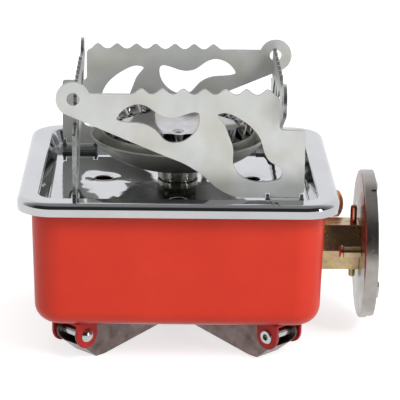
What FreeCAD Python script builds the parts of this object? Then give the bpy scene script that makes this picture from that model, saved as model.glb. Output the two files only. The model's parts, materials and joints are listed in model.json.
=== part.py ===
import FreeCAD, Part
import math
import os
import re

import Sketcher

# Folding single-burner camping stove: a pressed steel box on four folding legs, a chromed
# tray with a burner, four tilting pot supports in a pinwheel, and a side valve whose round
# coupling takes a gas canister.
#
# Frame: origin on the ground under the burner's axis, +Z up, +X towards the gas coupling,
# -Y towards the plain rear wall. The legs are folded, and their webs stand on the ground.

SIZES = {
    # The tray
    "tray_width": (110.0, "tray over its skirt, left to right"),
    "tray_depth": (108.0, "tray over its skirt, front to back"),
    "tray_corner": (12.5, "radius of the tray's corners in plan"),
    "rim_top": (61.0, "ground to the top of the rim"),
    "rim_band": (7.5, "width of the rim from the skirt to the well"),
    "rim_roll": (2.2, "radius of the rim's outer edge"),
    "rim_lip": (1.0, "radius of the rim's inner edge"),
    "skirt_drop": (4.6, "height of the skirt that hangs over the box"),
    "tray_recess": (5.3, "depth of the well under the rim"),
    "well_corner": (6.0, "radius of the well's corners in plan"),
    "well_slope": (25.0, "slope of the well's walls from upright, degrees"),
    "tray_sheet": (0.6, "thickness of the tray's sheet"),
    "air_circle": (53.2, "circle through the four air holes"),
    "air_hole": (6.2, "air hole in the tray"),
    "step_inner": (33.0, "inner edge of the pressed ring step"),
    "step_outer": (68.0, "outer edge of the pressed ring step"),
    "step_height": (0.3, "height of the pressed ring step"),
    # The box
    "box_width": (101.0, "box at its top edge, left to right"),
    "box_depth": (98.0, "box at its top edge, front to back"),
    "box_corner": (11.0, "radius of the box's upright corners"),
    "box_base": (14.6, "ground to the underside of the box"),
    "box_draft": (1.5, "draft of the box's walls, degrees"),
    "box_wall": (0.8, "thickness of the box's sheet"),
    "base_round": (6.5, "radius between the walls and the underside"),
    "vent_hole": (6.0, "air inlet in the underside"),
    "vent_circle": (26.0, "circle through the air inlets"),
    # The burner
    "column_width": (14.4, "burner column over its collar"),
    "column_thread": (12.0, "threaded end of the column under the tray"),
    "column_bore": (8.4, "gas way through the column"),
    "column_tail": (9.0, "length of the threaded end under the tray's floor"),
    "column_nut_flat": (17.0, "width across the flats of the column's nut"),
    "column_nut_height": (3.4, "height of the column's nut"),
    "bowl_base": (5.4, "tray's floor to the underside of the bowl"),
    "bowl_width": (63.0, "bowl over its lip"),
    "bowl_height": (16.1, "tray's floor to the bowl's lip"),
    "bowl_flat": (26.0, "flat underside of the bowl"),
    "bowl_curve": (25.0, "radius of the bowl's curved wall"),
    "bowl_sheet": (0.8, "thickness of the bowl"),
    "cup_width": (55.0, "burner cup at its mouth"),
    "cup_height": (17.7, "tray's floor to the cup's mouth"),
    "cup_flat": (25.0, "flat underside of the cup"),
    "cup_wall": (4.2, "height of the cup's upright wall"),
    "cup_sheet": (0.8, "thickness of the cup"),
    "spreader_width": (23.6, "gas spreader plate"),
    "spreader_sheet": (1.0, "thickness of the spreader plate"),
    "spreader_hole": (3.2, "hole in the spreader plate"),
    "post_width": (5.0, "post that carries the crown"),
    "crown_floor": (16.3, "tray's floor to the crown's floor"),
    "crown_height": (22.6, "tray's floor to the crown's top edge"),
    "crown_neck": (45.0, "crown across its flutes' inner folds at the floor"),
    "crown_foot": (52.8, "crown across its flutes' outer folds at the floor"),
    "crown_mouth": (54.6, "crown across its flutes' outer folds at the top"),
    "flute_depth": (1.1, "depth of the flutes at the crown's top edge"),
    "crown_sheet": (0.5, "thickness of the crown"),
    "crown_screw_head": (4.2, "head of the crown's screw"),
    "crown_screw_edge": (0.5, "height of the screw head's edge"),
    "crown_screw_dome": (0.7, "height of the screw head's dome"),
    "crown_screw_length": (6.0, "length of the crown's screw under its head"),
    "crown_screw_shank": (2.4, "shank of the crown's screw"),
    # The pot supports
    "support_offset": (35.5, "burner axis to the middle of a support plate"),
    "support_sheet": (1.2, "thickness of a support plate"),
    "support_top": (39.0, "tray's floor to the plate's straight top edge"),
    "tooth_depth": (1.9, "height of the teeth over the straight edge"),
    "tooth_pitch": (7.14, "distance between teeth"),
    "tooth_first": (13.0, "plate's middle to the first tooth, on the lobe's side"),
    "support_reach": (43.0, "plate's middle to the foot's outer edge"),
    "support_shoulder": (34.0, "plate's middle to the upper outer edge"),
    "ledge_height": (26.9, "tray's floor to the ledge under the next plate's arm"),
    "support_clear": (2.9, "tray's floor to the plate's lower edge"),
    "lobe_place": (36.1, "plate's middle to the lobe's middle"),
    "lobe_height": (37.0, "tray's floor to the lobe's middle"),
    "lobe_radius": (5.9, "radius of the lobe"),
    "lobe_hole": (4.3, "hole in the lobe"),
    "hinge_height": (1.9, "tray's floor to the hinge pin's axis"),
    "hinge_pin": (1.6, "hinge pin of a support"),
    "hinge_play": (0.05, "running clearance round a hinge pin, on the radius"),
    "knuckle_width": (3.0, "rolled knuckle at the plate's foot"),
    "knuckle_inner": (31.4, "plate's middle to the knuckle's inner end"),
    "knuckle_outer": (41.5, "plate's middle to the knuckle's outer end"),
    "ear_gap": (0.3, "gap between a knuckle and the ear beside it"),
    "ear_sheet": (1.0, "thickness of a hinge bracket's ear"),
    "ear_radius": (2.2, "radius of the ear round the pin"),
    "bracket_strip": (4.0, "width of the bracket's welded strip"),
    "bracket_sheet": (0.8, "thickness of the bracket's welded strip"),
    # The folding legs
    "leg_place": (50.6, "burner axis to a leg's pin"),
    "leg_pin_height": (9.5, "ground to a leg's pin"),
    "leg_pin": (3.6, "shank of a leg's rivet"),
    "leg_play": (0.06, "running clearance round a leg's rivet, on the radius"),
    "leg_length": (41.0, "pin to the leg's free end"),
    "leg_width": (10.6, "leg over its flanges"),
    "leg_sheet": (1.0, "thickness of the leg's sheet"),
    "leg_eye": (3.9, "radius of the flanges round the pin"),
    "leg_toe_angle": (39.0, "slope of the leg's heel from the ground, degrees"),
    "leg_flat": (4.0, "length of web that stands on the ground"),
    "leg_rise": (5.0, "ground to the web at the free end"),
    "leg_tip": (5.6, "height of the flanges at the free end"),
    "leg_gap": (0.3, "gap between a leg and the lug beside it"),
    "lug_sheet": (1.0, "thickness of the leg bracket"),
    "lug_radius": (4.7, "radius of a lug round the pin"),
    "rivet_head": (5.2, "rivet's domed head"),
    "rivet_dome": (1.6, "height of the domed head"),
    "rivet_bore": (2.2, "bore of the rivet's tubular end"),
    "rivet_tail": (0.7, "height of the rolled tubular end"),
    # The valve and the coupling
    "valve_height": (31.1, "ground to the valve's axis"),
    "valve_flat": (16.8, "width across the flats of the valve's bar"),
    "valve_thread": (12.0, "threaded end of the valve in the box"),
    "valve_bore": (3.0, "gas way along the valve"),
    "valve_nut_height": (3.6, "lock nut inside the box"),
    "valve_nut_flat": (18.0, "width across the flats of the lock nut"),
    "coupling_place": (65.8, "burner axis to the coupling disc's inner face"),
    "coupling_width": (53.8, "coupling disc over its rim"),
    "coupling_rim": (4.9, "width of the coupling's rim along the axis"),
    "coupling_wall": (1.6, "thickness of the coupling's rim"),
    "coupling_sheet": (1.6, "thickness of the coupling disc"),
    "rim_round": (0.8, "rounding of the disc's inner edge"),
    "rim_notch": (2.2, "depth of the notches in the coupling's rim"),
    "notch_angle": (53.0, "length of a notch round the rim, degrees"),
    "notch_turn": (36.5, "rise of the first notch's middle over the level, degrees"),
    "collar_bore": (41.8, "guide ring that takes the canister's collar"),
    "collar_wall": (1.4, "thickness of the guide ring"),
    "collar_height": (2.0, "height of the guide ring"),
    "claw_width": (6.0, "width of a canister claw"),
    "claw_height": (4.4, "height of a canister claw"),
    "claw_sheet": (1.2, "thickness of a canister claw"),
    "claw_hook": (1.2, "overhang of a claw's hook"),
    "seat_width": (11.0, "brass nozzle seat"),
    "seat_height": (3.4, "height of the nozzle seat"),
    "inlet_bore": (4.6, "socket for the canister's nozzle"),
    "seal_sheet": (0.8, "thickness of the rubber seal on the nozzle seat"),
    "seal_width": (9.0, "rubber seal on the nozzle seat"),
    "stop_pin_width": (2.4, "upright pins in the valve's bar"),
    "stop_pin_rise": (6.3, "height of the upper pin over the bar"),
    "stop_pin_drop": (4.2, "length of the lower pin under the bar"),
    "stop_pin_seat": (3.0, "depth of the pins in the bar"),
    "stop_pin_inset": (2.0, "disc's inner face to the pins' axis"),
    "plunger_width": (4.0, "lock plunger's shank"),
    "plunger_head": (4.9, "lock plunger's head"),
    "plunger_head_height": (1.4, "thickness of the plunger's head"),
    "plunger_length": (7.9, "plunger from its head to the disc"),
    "plunger_nose": (2.6, "plunger's nose beyond the disc"),
    "plunger_nose_width": (3.0, "width of the plunger's nose"),
    "plunger_side": (12.4, "valve's axis to the plunger's axis, on the rear side"),
    "plunger_lift": (0.7, "rise of the plunger's axis over the valve's axis"),
    "plunger_play": (0.05, "running clearance round the plunger, on the radius"),
    # The tap and the knob
    "tap_place": (30.0, "burner axis to the spindle's axis"),
    "tap_width": (15.0, "brass tap block, left to right"),
    "tap_depth": (18.0, "brass tap block, front to back"),
    "tap_height": (16.0, "height of the brass tap block"),
    "spindle_width": (6.0, "tap spindle"),
    "spindle_play": (0.05, "running clearance round the spindle, on the radius"),
    "gland_flat": (11.0, "width across the flats of the gland nut"),
    "gland_height": (3.0, "height of the gland nut"),
    "knob_width": (20.0, "control knob"),
    "knob_height": (12.0, "length of the control knob"),
    "knob_gap": (0.8, "gap between the knob and the box"),
    "knob_recess": (8.0, "depth of the spindle's socket in the knob"),
    "knob_round": (1.2, "rounding of the knob's front edge"),
    "knob_flute": (2.4, "width of a grip flute on the knob"),
    "pointer_width": (1.4, "width of the knob's pointer rib"),
    # The jet and the mixing tube
    "jet_flat": (8.0, "width across the flats of the jet"),
    "jet_length": (6.0, "length of the jet's hexagon"),
    "jet_tip": (3.0, "length of the jet's cone"),
    "jet_hole": (0.6, "gas hole through the jet"),
    "tube_width": (14.0, "mixing tube"),
    "tube_wall": (0.9, "wall of the mixing tube"),
    "tube_bend": (12.0, "radius of the mixing tube's bend"),
    "tube_mouth": (17.5, "burner axis to the mixing tube's mouth"),
    # The igniter
    "igniter_back": (16.0, "igniter's axis behind the valve's axis"),
    "igniter_height": (41.4, "ground to the igniter's axis"),
    "igniter_barrel": (12.0, "igniter's barrel"),
    "igniter_length": (24.0, "length of the barrel inside the box"),
    "igniter_flange": (15.0, "igniter's flange outside the box"),
    "igniter_flange_sheet": (1.4, "thickness of that flange"),
    "button_width": (10.0, "igniter button"),
    "button_dome": (1.8, "height of the button's domed end"),
    "button_rise": (9.8, "button over the flange"),
    "button_play": (0.15, "running clearance round the button, on the radius"),
    "button_depth": (8.0, "length of the button inside the barrel"),
    "button_travel": (4.0, "travel of the button"),
    "electrode_place": (29.2, "burner axis to the spark electrode"),
    "electrode_turn": (70.0, "electrode's place round the burner, degrees"),
    "electrode_width": (2.6, "ceramic of the electrode"),
    "electrode_top": (15.4, "tray's floor to the top of the ceramic"),
    "electrode_tail": (8.0, "length of the ceramic under the tray's floor"),
    "electrode_wire": (1.0, "spark wire"),
    "electrode_reach": (2.4, "spark wire over the ceramic"),
    "lead_width": (1.8, "insulated lead from the igniter to the electrode"),
    "lead_bend": (2.4, "radius of the lead's bends"),
    "fit_gap": (0.02, "gap between pieces that are pressed or screwed together"),
}

TOOTH_COUNT = 7
FLUTE_COUNT = 24
SPREADER_HOLES = 6
VENT_HOLES = 6
KNOB_FLUTES = 12

# Levels and edges that several pieces share, as expressions of the sizes.
FLOOR = "(rim_top - tray_recess)"
UNDER_FLOOR = f"({FLOOR} - tray_sheet)"
BOX_TOP = "(rim_top - tray_sheet)"
DRAFT = "tan(box_draft * 1deg)"
SIDE_WALL = f"(box_width / 2 - ({BOX_TOP} - valve_height - valve_flat / 2) * {DRAFT})"
FAR_WALL = f"(box_depth / 2 - ({BOX_TOP} - valve_height - knob_width / 2) * {DRAFT})"
BUTTON_WALL = f"(box_width / 2 - ({BOX_TOP} - igniter_height - igniter_flange / 2) * {DRAFT})"
CUP_BASE = f"({FLOOR} + bowl_base + bowl_sheet)"
DISC_FACE = "(coupling_place + coupling_sheet)"
TAP_FACE = "(tap_place - tap_width / 2)"
HINGE_LEVEL = f"({FLOOR} + hinge_height)"

doc = FreeCAD.newDocument("CampingStove")
sheet = doc.addObject("Spreadsheet::Sheet", "Sizes")
for row, (alias, (number, meaning)) in enumerate(SIZES.items(), 1):
    sheet.set(f"A{row}", meaning)
    sheet.set(f"B{row}", str(number))
    sheet.setAlias(f"B{row}", alias)
doc.recompute()

nodes = []


def bound(text):
    """Name the sheet before each size in an expression: every size's name has an underscore."""
    return re.sub(r"\b([a-z]+(?:_[a-z]+)+)\b", r"Sizes.\1", text)


def value(text):
    """Work out an expression of the sizes as a number."""
    result = sheet.evalExpression(bound(text))
    return float(getattr(result, "Value", result))


def new_body(label, turn=0.0):
    """Start a sub-part, turned about the burner's axis by a number of degrees."""
    body = doc.addObject("PartDesign::Body", label)
    body.Label = label
    body.AllowCompound = True
    body.Placement = FreeCAD.Placement(FreeCAD.Vector(), FreeCAD.Rotation(FreeCAD.Vector(0, 0, 1), turn))
    nodes.append(body)
    return body


def new_sketch(body, plane, across="0", up="0", out="0"):
    """Start a sketch on one of the body's planes, with its origin moved by three expressions."""
    sketch = body.newObject("Sketcher::SketchObject", f"{body.Label}_sketch")
    origin = [item for item in body.Origin.OriginFeatures if item.Role == plane][0]
    sketch.AttachmentSupport = [(origin, "")]
    sketch.MapMode = "FlatFace"
    for axis, text in (("x", across), ("y", up), ("z", out)):
        if text != "0":
            sketch.setExpression(f"AttachmentOffset.Base.{axis}", bound(text))
    return sketch


def hold_point(sketch, element, end, across, up):
    """Fix a point of a sketch at two expressions from the sketch's origin."""
    for kind, line, text in (("DistanceX", -2, across), ("DistanceY", -1, up)):
        if text == "0":
            sketch.addConstraint(Sketcher.Constraint("PointOnObject", element, end, line))
        else:
            rule = Sketcher.Constraint(kind, -1, 1, element, end, value(text))
            number = sketch.addConstraint(rule)
            sketch.setExpression(f"Constraints[{number}]", bound(text))


def arc_between(start, end, radius, turn):
    """The shorter arc between two points: turn is 1 for counter-clockwise and -1 for clockwise."""
    chord = end - start
    middle = (start + end) * 0.5
    rise = math.sqrt(max(radius ** 2 - (chord.Length / 2) ** 2, 0.0))
    side = FreeCAD.Vector(-chord.y, chord.x, 0).normalize()
    centre = middle + side * (rise * turn)
    first, last = (start, end) if turn > 0 else (end, start)
    angle_first = math.atan2(first.y - centre.y, first.x - centre.x)
    angle_last = math.atan2(last.y - centre.y, last.x - centre.x)
    circle = Part.Circle(centre, FreeCAD.Vector(0, 0, 1), radius)
    return Part.ArcOfCircle(circle, angle_first, angle_last)


def draw_outline(sketch, corners):
    """Draw a closed outline. A corner is (across, up), or (across, up, radius, turn) where the
    side that starts at it is an arc."""
    first = sketch.GeometryCount
    points = [FreeCAD.Vector(value(corner[0]), value(corner[1]), 0) for corner in corners]
    starts = []
    for index, corner in enumerate(corners):
        start, end = points[index], points[(index + 1) % len(points)]
        if len(corner) == 2:
            sketch.addGeometry(Part.LineSegment(start, end))
            starts.append(1)
        else:
            sketch.addGeometry(arc_between(start, end, value(corner[2]), corner[3]))
            starts.append(1 if corner[3] > 0 else 2)
    for index in range(len(corners)):
        following = (index + 1) % len(corners)
        ends = (first + index, 3 - starts[index], first + following, starts[following])
        sketch.addConstraint(Sketcher.Constraint("Coincident", *ends))
    for index, corner in enumerate(corners):
        hold_point(sketch, first + index, starts[index], corner[0], corner[1])
        if len(corner) == 4:
            rule = Sketcher.Constraint("Radius", first + index, value(corner[2]))
            number = sketch.addConstraint(rule)
            sketch.setExpression(f"Constraints[{number}]", bound(corner[2]))


def draw_circle(sketch, across, up, width):
    """Draw a circle by its middle and its diameter."""
    centre = FreeCAD.Vector(value(across), value(up), 0)
    element = sketch.addGeometry(Part.Circle(centre, FreeCAD.Vector(0, 0, 1), value(width) / 2))
    hold_point(sketch, element, 3, across, up)
    number = sketch.addConstraint(Sketcher.Constraint("Diameter", element, value(width)))
    sketch.setExpression(f"Constraints[{number}]", bound(width))


def rounded_rectangle(width, depth, radius):
    """Corners of a rectangle about the origin with rounded corners."""
    flat_x, flat_y = f"({width}) / 2 - ({radius})", f"({depth}) / 2 - ({radius})"
    edge_x, edge_y = f"({width}) / 2", f"({depth}) / 2"
    return [
        (f"-({flat_x})", f"-({edge_y})"), (flat_x, f"-({edge_y})", radius, 1),
        (edge_x, f"-({flat_y})"), (edge_x, flat_y, radius, 1),
        (flat_x, edge_y), (f"-({flat_x})", edge_y, radius, 1),
        (f"-({edge_x})", flat_y), (f"-({edge_x})", f"-({flat_y})", radius, 1),
    ]


def hexagon(flat):
    """Corners of a hexagon with flats below and above."""
    side, half = f"({flat}) / 2 / sqrt(3)", f"({flat}) / 2"
    point = f"({flat}) / sqrt(3)"
    return [
        (f"-({side})", f"-({half})"), (side, f"-({half})"), (point, "0"),
        (side, half), (f"-({side})", half), (f"-({point})", "0"),
    ]


def rectangle(low_x, low_y, high_x, high_y):
    """Corners of a rectangle between two opposite corners."""
    return [(low_x, low_y), (high_x, low_y), (high_x, high_y), (low_x, high_y)]


def shaped(body, kind, sketch, **settings):
    """Add a feature made from a sketch. Text settings are expressions, others plain values."""
    feature = body.newObject(f"PartDesign::{kind}", f"{body.Label}_{kind.lower()}")
    feature.Profile = sketch
    for name, setting in settings.items():
        if isinstance(setting, str):
            feature.setExpression(name, bound(setting))
        else:
            setattr(feature, name, setting)
    sketch.Visibility = False
    doc.recompute()
    if "Invalid" in feature.State:
        raise ValueError(f"a {kind.lower()} in {body.Label} failed")
    return feature


def pad(body, sketch, length, reverse=False, middle=False, taper=None):
    """Raise a sketch by a length."""
    settings = {"Length": length, "Reversed": reverse, "Midplane": middle}
    if taper:
        settings["TaperAngle"] = taper
    return shaped(body, "Pad", sketch, **settings)


def pocket(body, sketch, length, reverse=False, middle=False, taper=None):
    """Cut a sketch to a depth, and make sure that it takes material away."""
    before = body.Shape.Volume
    settings = {"Length": length, "Reversed": reverse, "Midplane": middle}
    if taper:
        settings["TaperAngle"] = taper
    feature = shaped(body, "Pocket", sketch, **settings)
    if body.Shape.Volume > before - 1e-6:
        raise ValueError(f"a pocket in {body.Label} cuts nothing")
    return feature


def turned(body, sketch, kind="Revolution", axis="V_Axis"):
    """Turn a sketch about one of its own axes."""
    return shaped(body, kind, sketch, ReferenceAxis=(sketch, [axis]), Angle=360.0)


def lathe(label, corners, plane="XZ_Plane", across="0", up="0", out="0", axis="V_Axis", turn=0.0):
    """A sub-part turned from one outline."""
    body = new_body(label, turn)
    sketch = new_sketch(body, plane, across, up, out)
    draw_outline(sketch, corners)
    turned(body, sketch, axis=axis)
    return body


def ring_of(body, feature, count, axis="Z_Axis"):
    """Repeat a feature round one of the body's axes."""
    origin = [item for item in body.Origin.OriginFeatures if item.Role == axis][0]
    pattern = body.newObject("PartDesign::PolarPattern", f"{body.Label}_ring")
    pattern.Originals = [feature]
    pattern.Axis = (origin, [""])
    pattern.Angle = 360.0
    pattern.Occurrences = count
    body.Tip = pattern
    doc.recompute()
    return pattern


def round_edges(body, chosen, radius):
    """Round the tip's edges that a test chooses."""
    tip = body.Tip
    names = [f"Edge{number}" for number, edge in enumerate(tip.Shape.Edges, 1) if chosen(edge)]
    feature = body.newObject("PartDesign::Fillet", f"{body.Label}_fillet")
    feature.Base = (tip, names)
    feature.setExpression("Radius", bound(radius))
    doc.recompute()
    if "Invalid" in feature.State:
        raise ValueError(f"a rounding in {body.Label} failed")
    return feature


def level_edges(height, inside=None):
    """A test for edges that lie at one height, and inside a half width if one is given."""
    level = value(height)

    def test(edge):
        box = edge.BoundBox
        at_level = abs(box.ZMin - level) < 1e-4 and abs(box.ZMax - level) < 1e-4
        return at_level and (inside is None or max(abs(box.XMin), abs(box.XMax)) < inside)

    return test


def make_tray():
    """Pressed tray: a rolled rim with a skirt, and a well with a stepped floor."""
    body = new_body("top_tray")
    block = new_sketch(body, "XY_Plane", out="rim_top - skirt_drop")
    draw_outline(block, rounded_rectangle("tray_width", "tray_depth", "tray_corner"))
    pad(body, block, "skirt_drop")
    hollow = new_sketch(body, "XY_Plane", out="rim_top - skirt_drop")
    inner = ("tray_width - 2 * tray_sheet", "tray_depth - 2 * tray_sheet", "tray_corner - tray_sheet")
    draw_outline(hollow, rounded_rectangle(*inner))
    pocket(body, hollow, "skirt_drop - tray_sheet", reverse=True)
    round_edges(body, level_edges(BOX_TOP), "rim_roll - tray_sheet")
    round_edges(body, level_edges("rim_top"), "rim_roll")
    well = new_sketch(body, "XY_Plane", out=BOX_TOP)
    mouth = ("tray_width - 2 * rim_band + 2 * tray_sheet", "tray_depth - 2 * rim_band + 2 * tray_sheet")
    draw_outline(well, rounded_rectangle(*mouth, "well_corner + tray_sheet"))
    pad(body, well, "tray_recess", reverse=True, taper="-well_slope * 1deg")
    opening = new_sketch(body, "XY_Plane", out="rim_top")
    mouth = ("tray_width - 2 * rim_band", "tray_depth - 2 * rim_band")
    draw_outline(opening, rounded_rectangle(*mouth, "well_corner"))
    pocket(body, opening, "tray_recess", taper="-well_slope * 1deg")
    inside = value("tray_width / 2 - rim_band") + 0.5
    round_edges(body, level_edges("rim_top", inside), "rim_lip")
    bead = new_sketch(body, "XY_Plane", out=UNDER_FLOOR)
    draw_circle(bead, "0", "0", "step_outer")
    draw_circle(bead, "0", "0", "step_inner")
    pad(body, bead, "step_height", reverse=True)
    step = new_sketch(body, "XY_Plane", out=FLOOR)
    draw_circle(step, "0", "0", "step_outer - 1")
    draw_circle(step, "0", "0", "step_inner + 1")
    pocket(body, step, "step_height")
    centre = new_sketch(body, "XY_Plane", out=FLOOR)
    draw_circle(centre, "0", "0", "column_thread + 2 * fit_gap")
    pocket(body, centre, "2 * tray_recess", middle=True)
    air = new_sketch(body, "XY_Plane", out=FLOOR)
    draw_circle(air, "air_circle / 2", "0", "air_hole")
    ring_of(body, pocket(body, air, "2 * tray_recess", middle=True), 4)
    spark = new_sketch(body, "XY_Plane", out=FLOOR)
    place = electrode_axis()
    draw_circle(spark, place[0], place[1], "electrode_width + 0.4")
    pocket(body, spark, "2 * tray_recess", middle=True)


def make_box():
    """Deep-drawn box: an open tub with drafted walls and a rounded base."""
    body = new_body("body_shell")
    block = new_sketch(body, "XY_Plane", out=BOX_TOP)
    draw_outline(block, rounded_rectangle("box_width", "box_depth", "box_corner"))
    pad(body, block, f"{BOX_TOP} - box_base", reverse=True, taper="-box_draft * 1deg")
    hollow = new_sketch(body, "XY_Plane", out=BOX_TOP)
    inner = ("box_width - 2 * box_wall", "box_depth - 2 * box_wall", "box_corner - box_wall")
    draw_outline(hollow, rounded_rectangle(*inner))
    pocket(body, hollow, f"{BOX_TOP} - box_base - box_wall", taper="-box_draft * 1deg")
    round_edges(body, level_edges("box_base + box_wall"), "base_round - box_wall")
    round_edges(body, level_edges("box_base"), "base_round")
    valve = new_sketch(body, "YZ_Plane", up="valve_height")
    draw_circle(valve, "0", "0", "valve_thread + 2 * fit_gap")
    pocket(body, valve, "box_width", reverse=True)
    button = new_sketch(body, "YZ_Plane", up="igniter_height")
    draw_circle(button, "igniter_back", "0", "igniter_barrel + 2 * fit_gap")
    pocket(body, button, "box_width", reverse=True)
    spindle = new_sketch(body, "XZ_Plane", up="valve_height")
    draw_circle(spindle, "tap_place", "0", "spindle_width + 2")
    pocket(body, spindle, "box_depth")
    vents = new_sketch(body, "XY_Plane", out="box_base")
    draw_circle(vents, "vent_circle / 2", "0", "vent_hole")
    ring_of(body, pocket(body, vents, "3 * box_wall", middle=True), VENT_HOLES)


def make_column():
    """Threaded column that carries the burner head, with a waist between two collars."""
    top = "bowl_base"
    half, thread, bore = "column_width / 2", "column_thread / 2", "column_bore / 2"
    lathe("burner_column", [
        (bore, "-column_tail"), (thread, "-column_tail"), (thread, "0"), (half, "0"),
        (half, f"{top} * 0.22"), (f"{half} - 0.9", f"{top} * 0.36"),
        (f"{half} - 0.9", f"{top} * 0.62"), (half, f"{top} * 0.78"), (half, top),
        (bore, top),
    ], up=FLOOR)
    body = new_body("column_nut")
    sketch = new_sketch(body, "XY_Plane", out=UNDER_FLOOR)
    draw_outline(sketch, hexagon("column_nut_flat"))
    draw_circle(sketch, "0", "0", "column_thread + 2 * fit_gap")
    pad(body, sketch, "column_nut_height", reverse=True)


def make_bowl():
    """Wind bowl round the burner head, with a rolled lip and a hole for the electrode."""
    sheet_bowl, flat, lip = "bowl_sheet", "bowl_flat / 2", "bowl_width / 2"
    body = lathe("burner_bowl", [
        ("column_bore / 2", "bowl_base"), (flat, "bowl_base", "bowl_curve", 1),
        (lip, "bowl_height - 0.4"), (lip, "bowl_height"), (f"{lip} - {sheet_bowl}", "bowl_height"),
        (f"{lip} - {sheet_bowl} - 0.5", "bowl_height - 0.9", f"bowl_curve - {sheet_bowl}", -1),
        (flat, f"bowl_base + {sheet_bowl}"), ("column_bore / 2", f"bowl_base + {sheet_bowl}"),
    ], up=FLOOR)
    place = electrode_axis()
    hole = new_sketch(body, "XY_Plane", out=FLOOR)
    draw_circle(hole, place[0], place[1], "electrode_width + 0.4")
    pocket(body, hole, "bowl_height", reverse=True)


def make_cup():
    """Burner cup that the crown closes, and the spreader with the crown's post."""
    base, wall = "(bowl_base + bowl_sheet)", "cup_sheet"
    flat, mouth = "cup_flat / 2", "cup_width / 2"
    shoulder = "(cup_height - cup_wall)"
    waist = f"({mouth} * 0.8)"
    waist_level = f"({base} + ({shoulder} - {base}) * 0.42)"
    lathe("burner_cup", [
        ("column_bore / 2", base), (flat, base), (waist, waist_level), (mouth, shoulder),
        (mouth, "cup_height"), (f"{mouth} - {wall}", "cup_height"),
        (f"{mouth} - {wall}", f"{shoulder} + 0.3"), (f"{waist} - 0.3", f"{waist_level} + {wall}"),
        (f"{flat} - 0.2", f"{base} + {wall}"), ("column_bore / 2", f"{base} + {wall}"),
    ], up=FLOOR)
    low = f"({base} + {wall})"
    high = "(crown_floor - crown_sheet)"
    post, screw = "post_width / 2", "crown_screw_shank / 2 + fit_gap"
    body = lathe("gas_spreader", [
        (screw, low), ("spreader_width / 2", low), ("spreader_width / 2", f"{low} + spreader_sheet"),
        (post, f"{low} + spreader_sheet"), (post, high), (screw, high),
    ], up=FLOOR)
    hole = new_sketch(body, "XY_Plane", out=CUP_BASE)
    draw_circle(hole, "spreader_width / 4 + post_width / 4", "0", "spreader_hole")
    ring_of(body, pocket(body, hole, "4 * spreader_sheet", middle=True), SPREADER_HOLES)


def fluted_wire(neck, depth, level):
    """Closed wavy outline: outer folds at neck plus depth, one for each flute."""
    points = []
    steps = FLUTE_COUNT * 6
    for step in range(steps):
        angle = 2 * math.pi * step / steps
        swing = (1 + math.cos(FLUTE_COUNT * angle)) / 2
        radius = neck + depth * swing
        points.append(FreeCAD.Vector(radius * math.cos(angle), radius * math.sin(angle), level))
    curve = Part.BSplineCurve()
    curve.interpolate(points, PeriodicFlag=True)
    return Part.Wire([curve.toShape()])


def make_crown():
    """Fluted crown: its wavy wall flares from the cup's mouth, and leaves the flame ports."""
    floor, top = value(f"{FLOOR} + crown_floor"), value(f"{FLOOR} + crown_height")
    thin = value("crown_sheet")
    neck, foot = value("crown_neck / 2"), value("crown_foot / 2")
    fold = value("flute_depth")
    mouth = value("crown_mouth / 2") - fold
    low, high = fluted_wire(neck, foot - neck, floor - thin), fluted_wire(mouth, fold, top)
    outer = Part.makeLoft([low, high], True, True)
    low = fluted_wire(neck - thin, foot - neck, floor)
    high = fluted_wire(mouth - thin, fold, top + 0.001)
    inner = Part.makeLoft([low, high], True, True)
    hole = Part.makeCylinder(value("crown_screw_shank / 2 + fit_gap"), 4, FreeCAD.Vector(0, 0, floor - 2))
    crown = doc.addObject("Part::Feature", "flame_crown")
    crown.Label = "flame_crown"
    crown.Shape = outer.cut(inner).cut(hole)
    nodes.append(crown)
    dome = "(crown_screw_head ^ 2 / 4 + crown_screw_dome ^ 2) / (2 * crown_screw_dome)"
    lathe("crown_screw", [
        ("0", "-crown_screw_length"), ("crown_screw_shank / 2", "-crown_screw_length"),
        ("crown_screw_shank / 2", "0"),
        ("crown_screw_head / 2", "0"), ("crown_screw_head / 2", "crown_screw_edge", dome, 1),
        ("0", "crown_screw_edge + crown_screw_dome"),
    ], up=f"{FLOOR} + crown_floor")


# Openings in a support plate, as shares of the plate's half width and of its height.
WAVE_WINDOW = (
    (-0.600, 0.782), (-0.515, 0.873), (-0.385, 0.909), (-0.290, 0.880), (-0.180, 0.810),
    (-0.060, 0.793), (0.090, 0.832), (0.182, 0.835), (0.193, 0.765), (0.125, 0.640),
    (-0.015, 0.568), (-0.130, 0.586), (-0.215, 0.668), (-0.370, 0.738), (-0.540, 0.752),
)
DROP_WINDOW = (
    (0.372, 0.826), (0.440, 0.838), (0.560, 0.797), (0.700, 0.705), (0.785, 0.592),
    (0.815, 0.498), (0.895, 0.392), (0.985, 0.340), (0.990, 0.272), (0.870, 0.224),
    (0.715, 0.226), (0.578, 0.290), (0.522, 0.385), (0.520, 0.500), (0.468, 0.655),
    (0.400, 0.770),
)


def window_curve(shares):
    """Smooth closed curve through a window's points."""
    half, height = value("support_offset"), value("support_top")
    points = [FreeCAD.Vector(across * half, up * height, 0) for across, up in shares]
    curve = Part.BSplineCurve()
    curve.interpolate(points, PeriodicFlag=True)
    return curve


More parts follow.
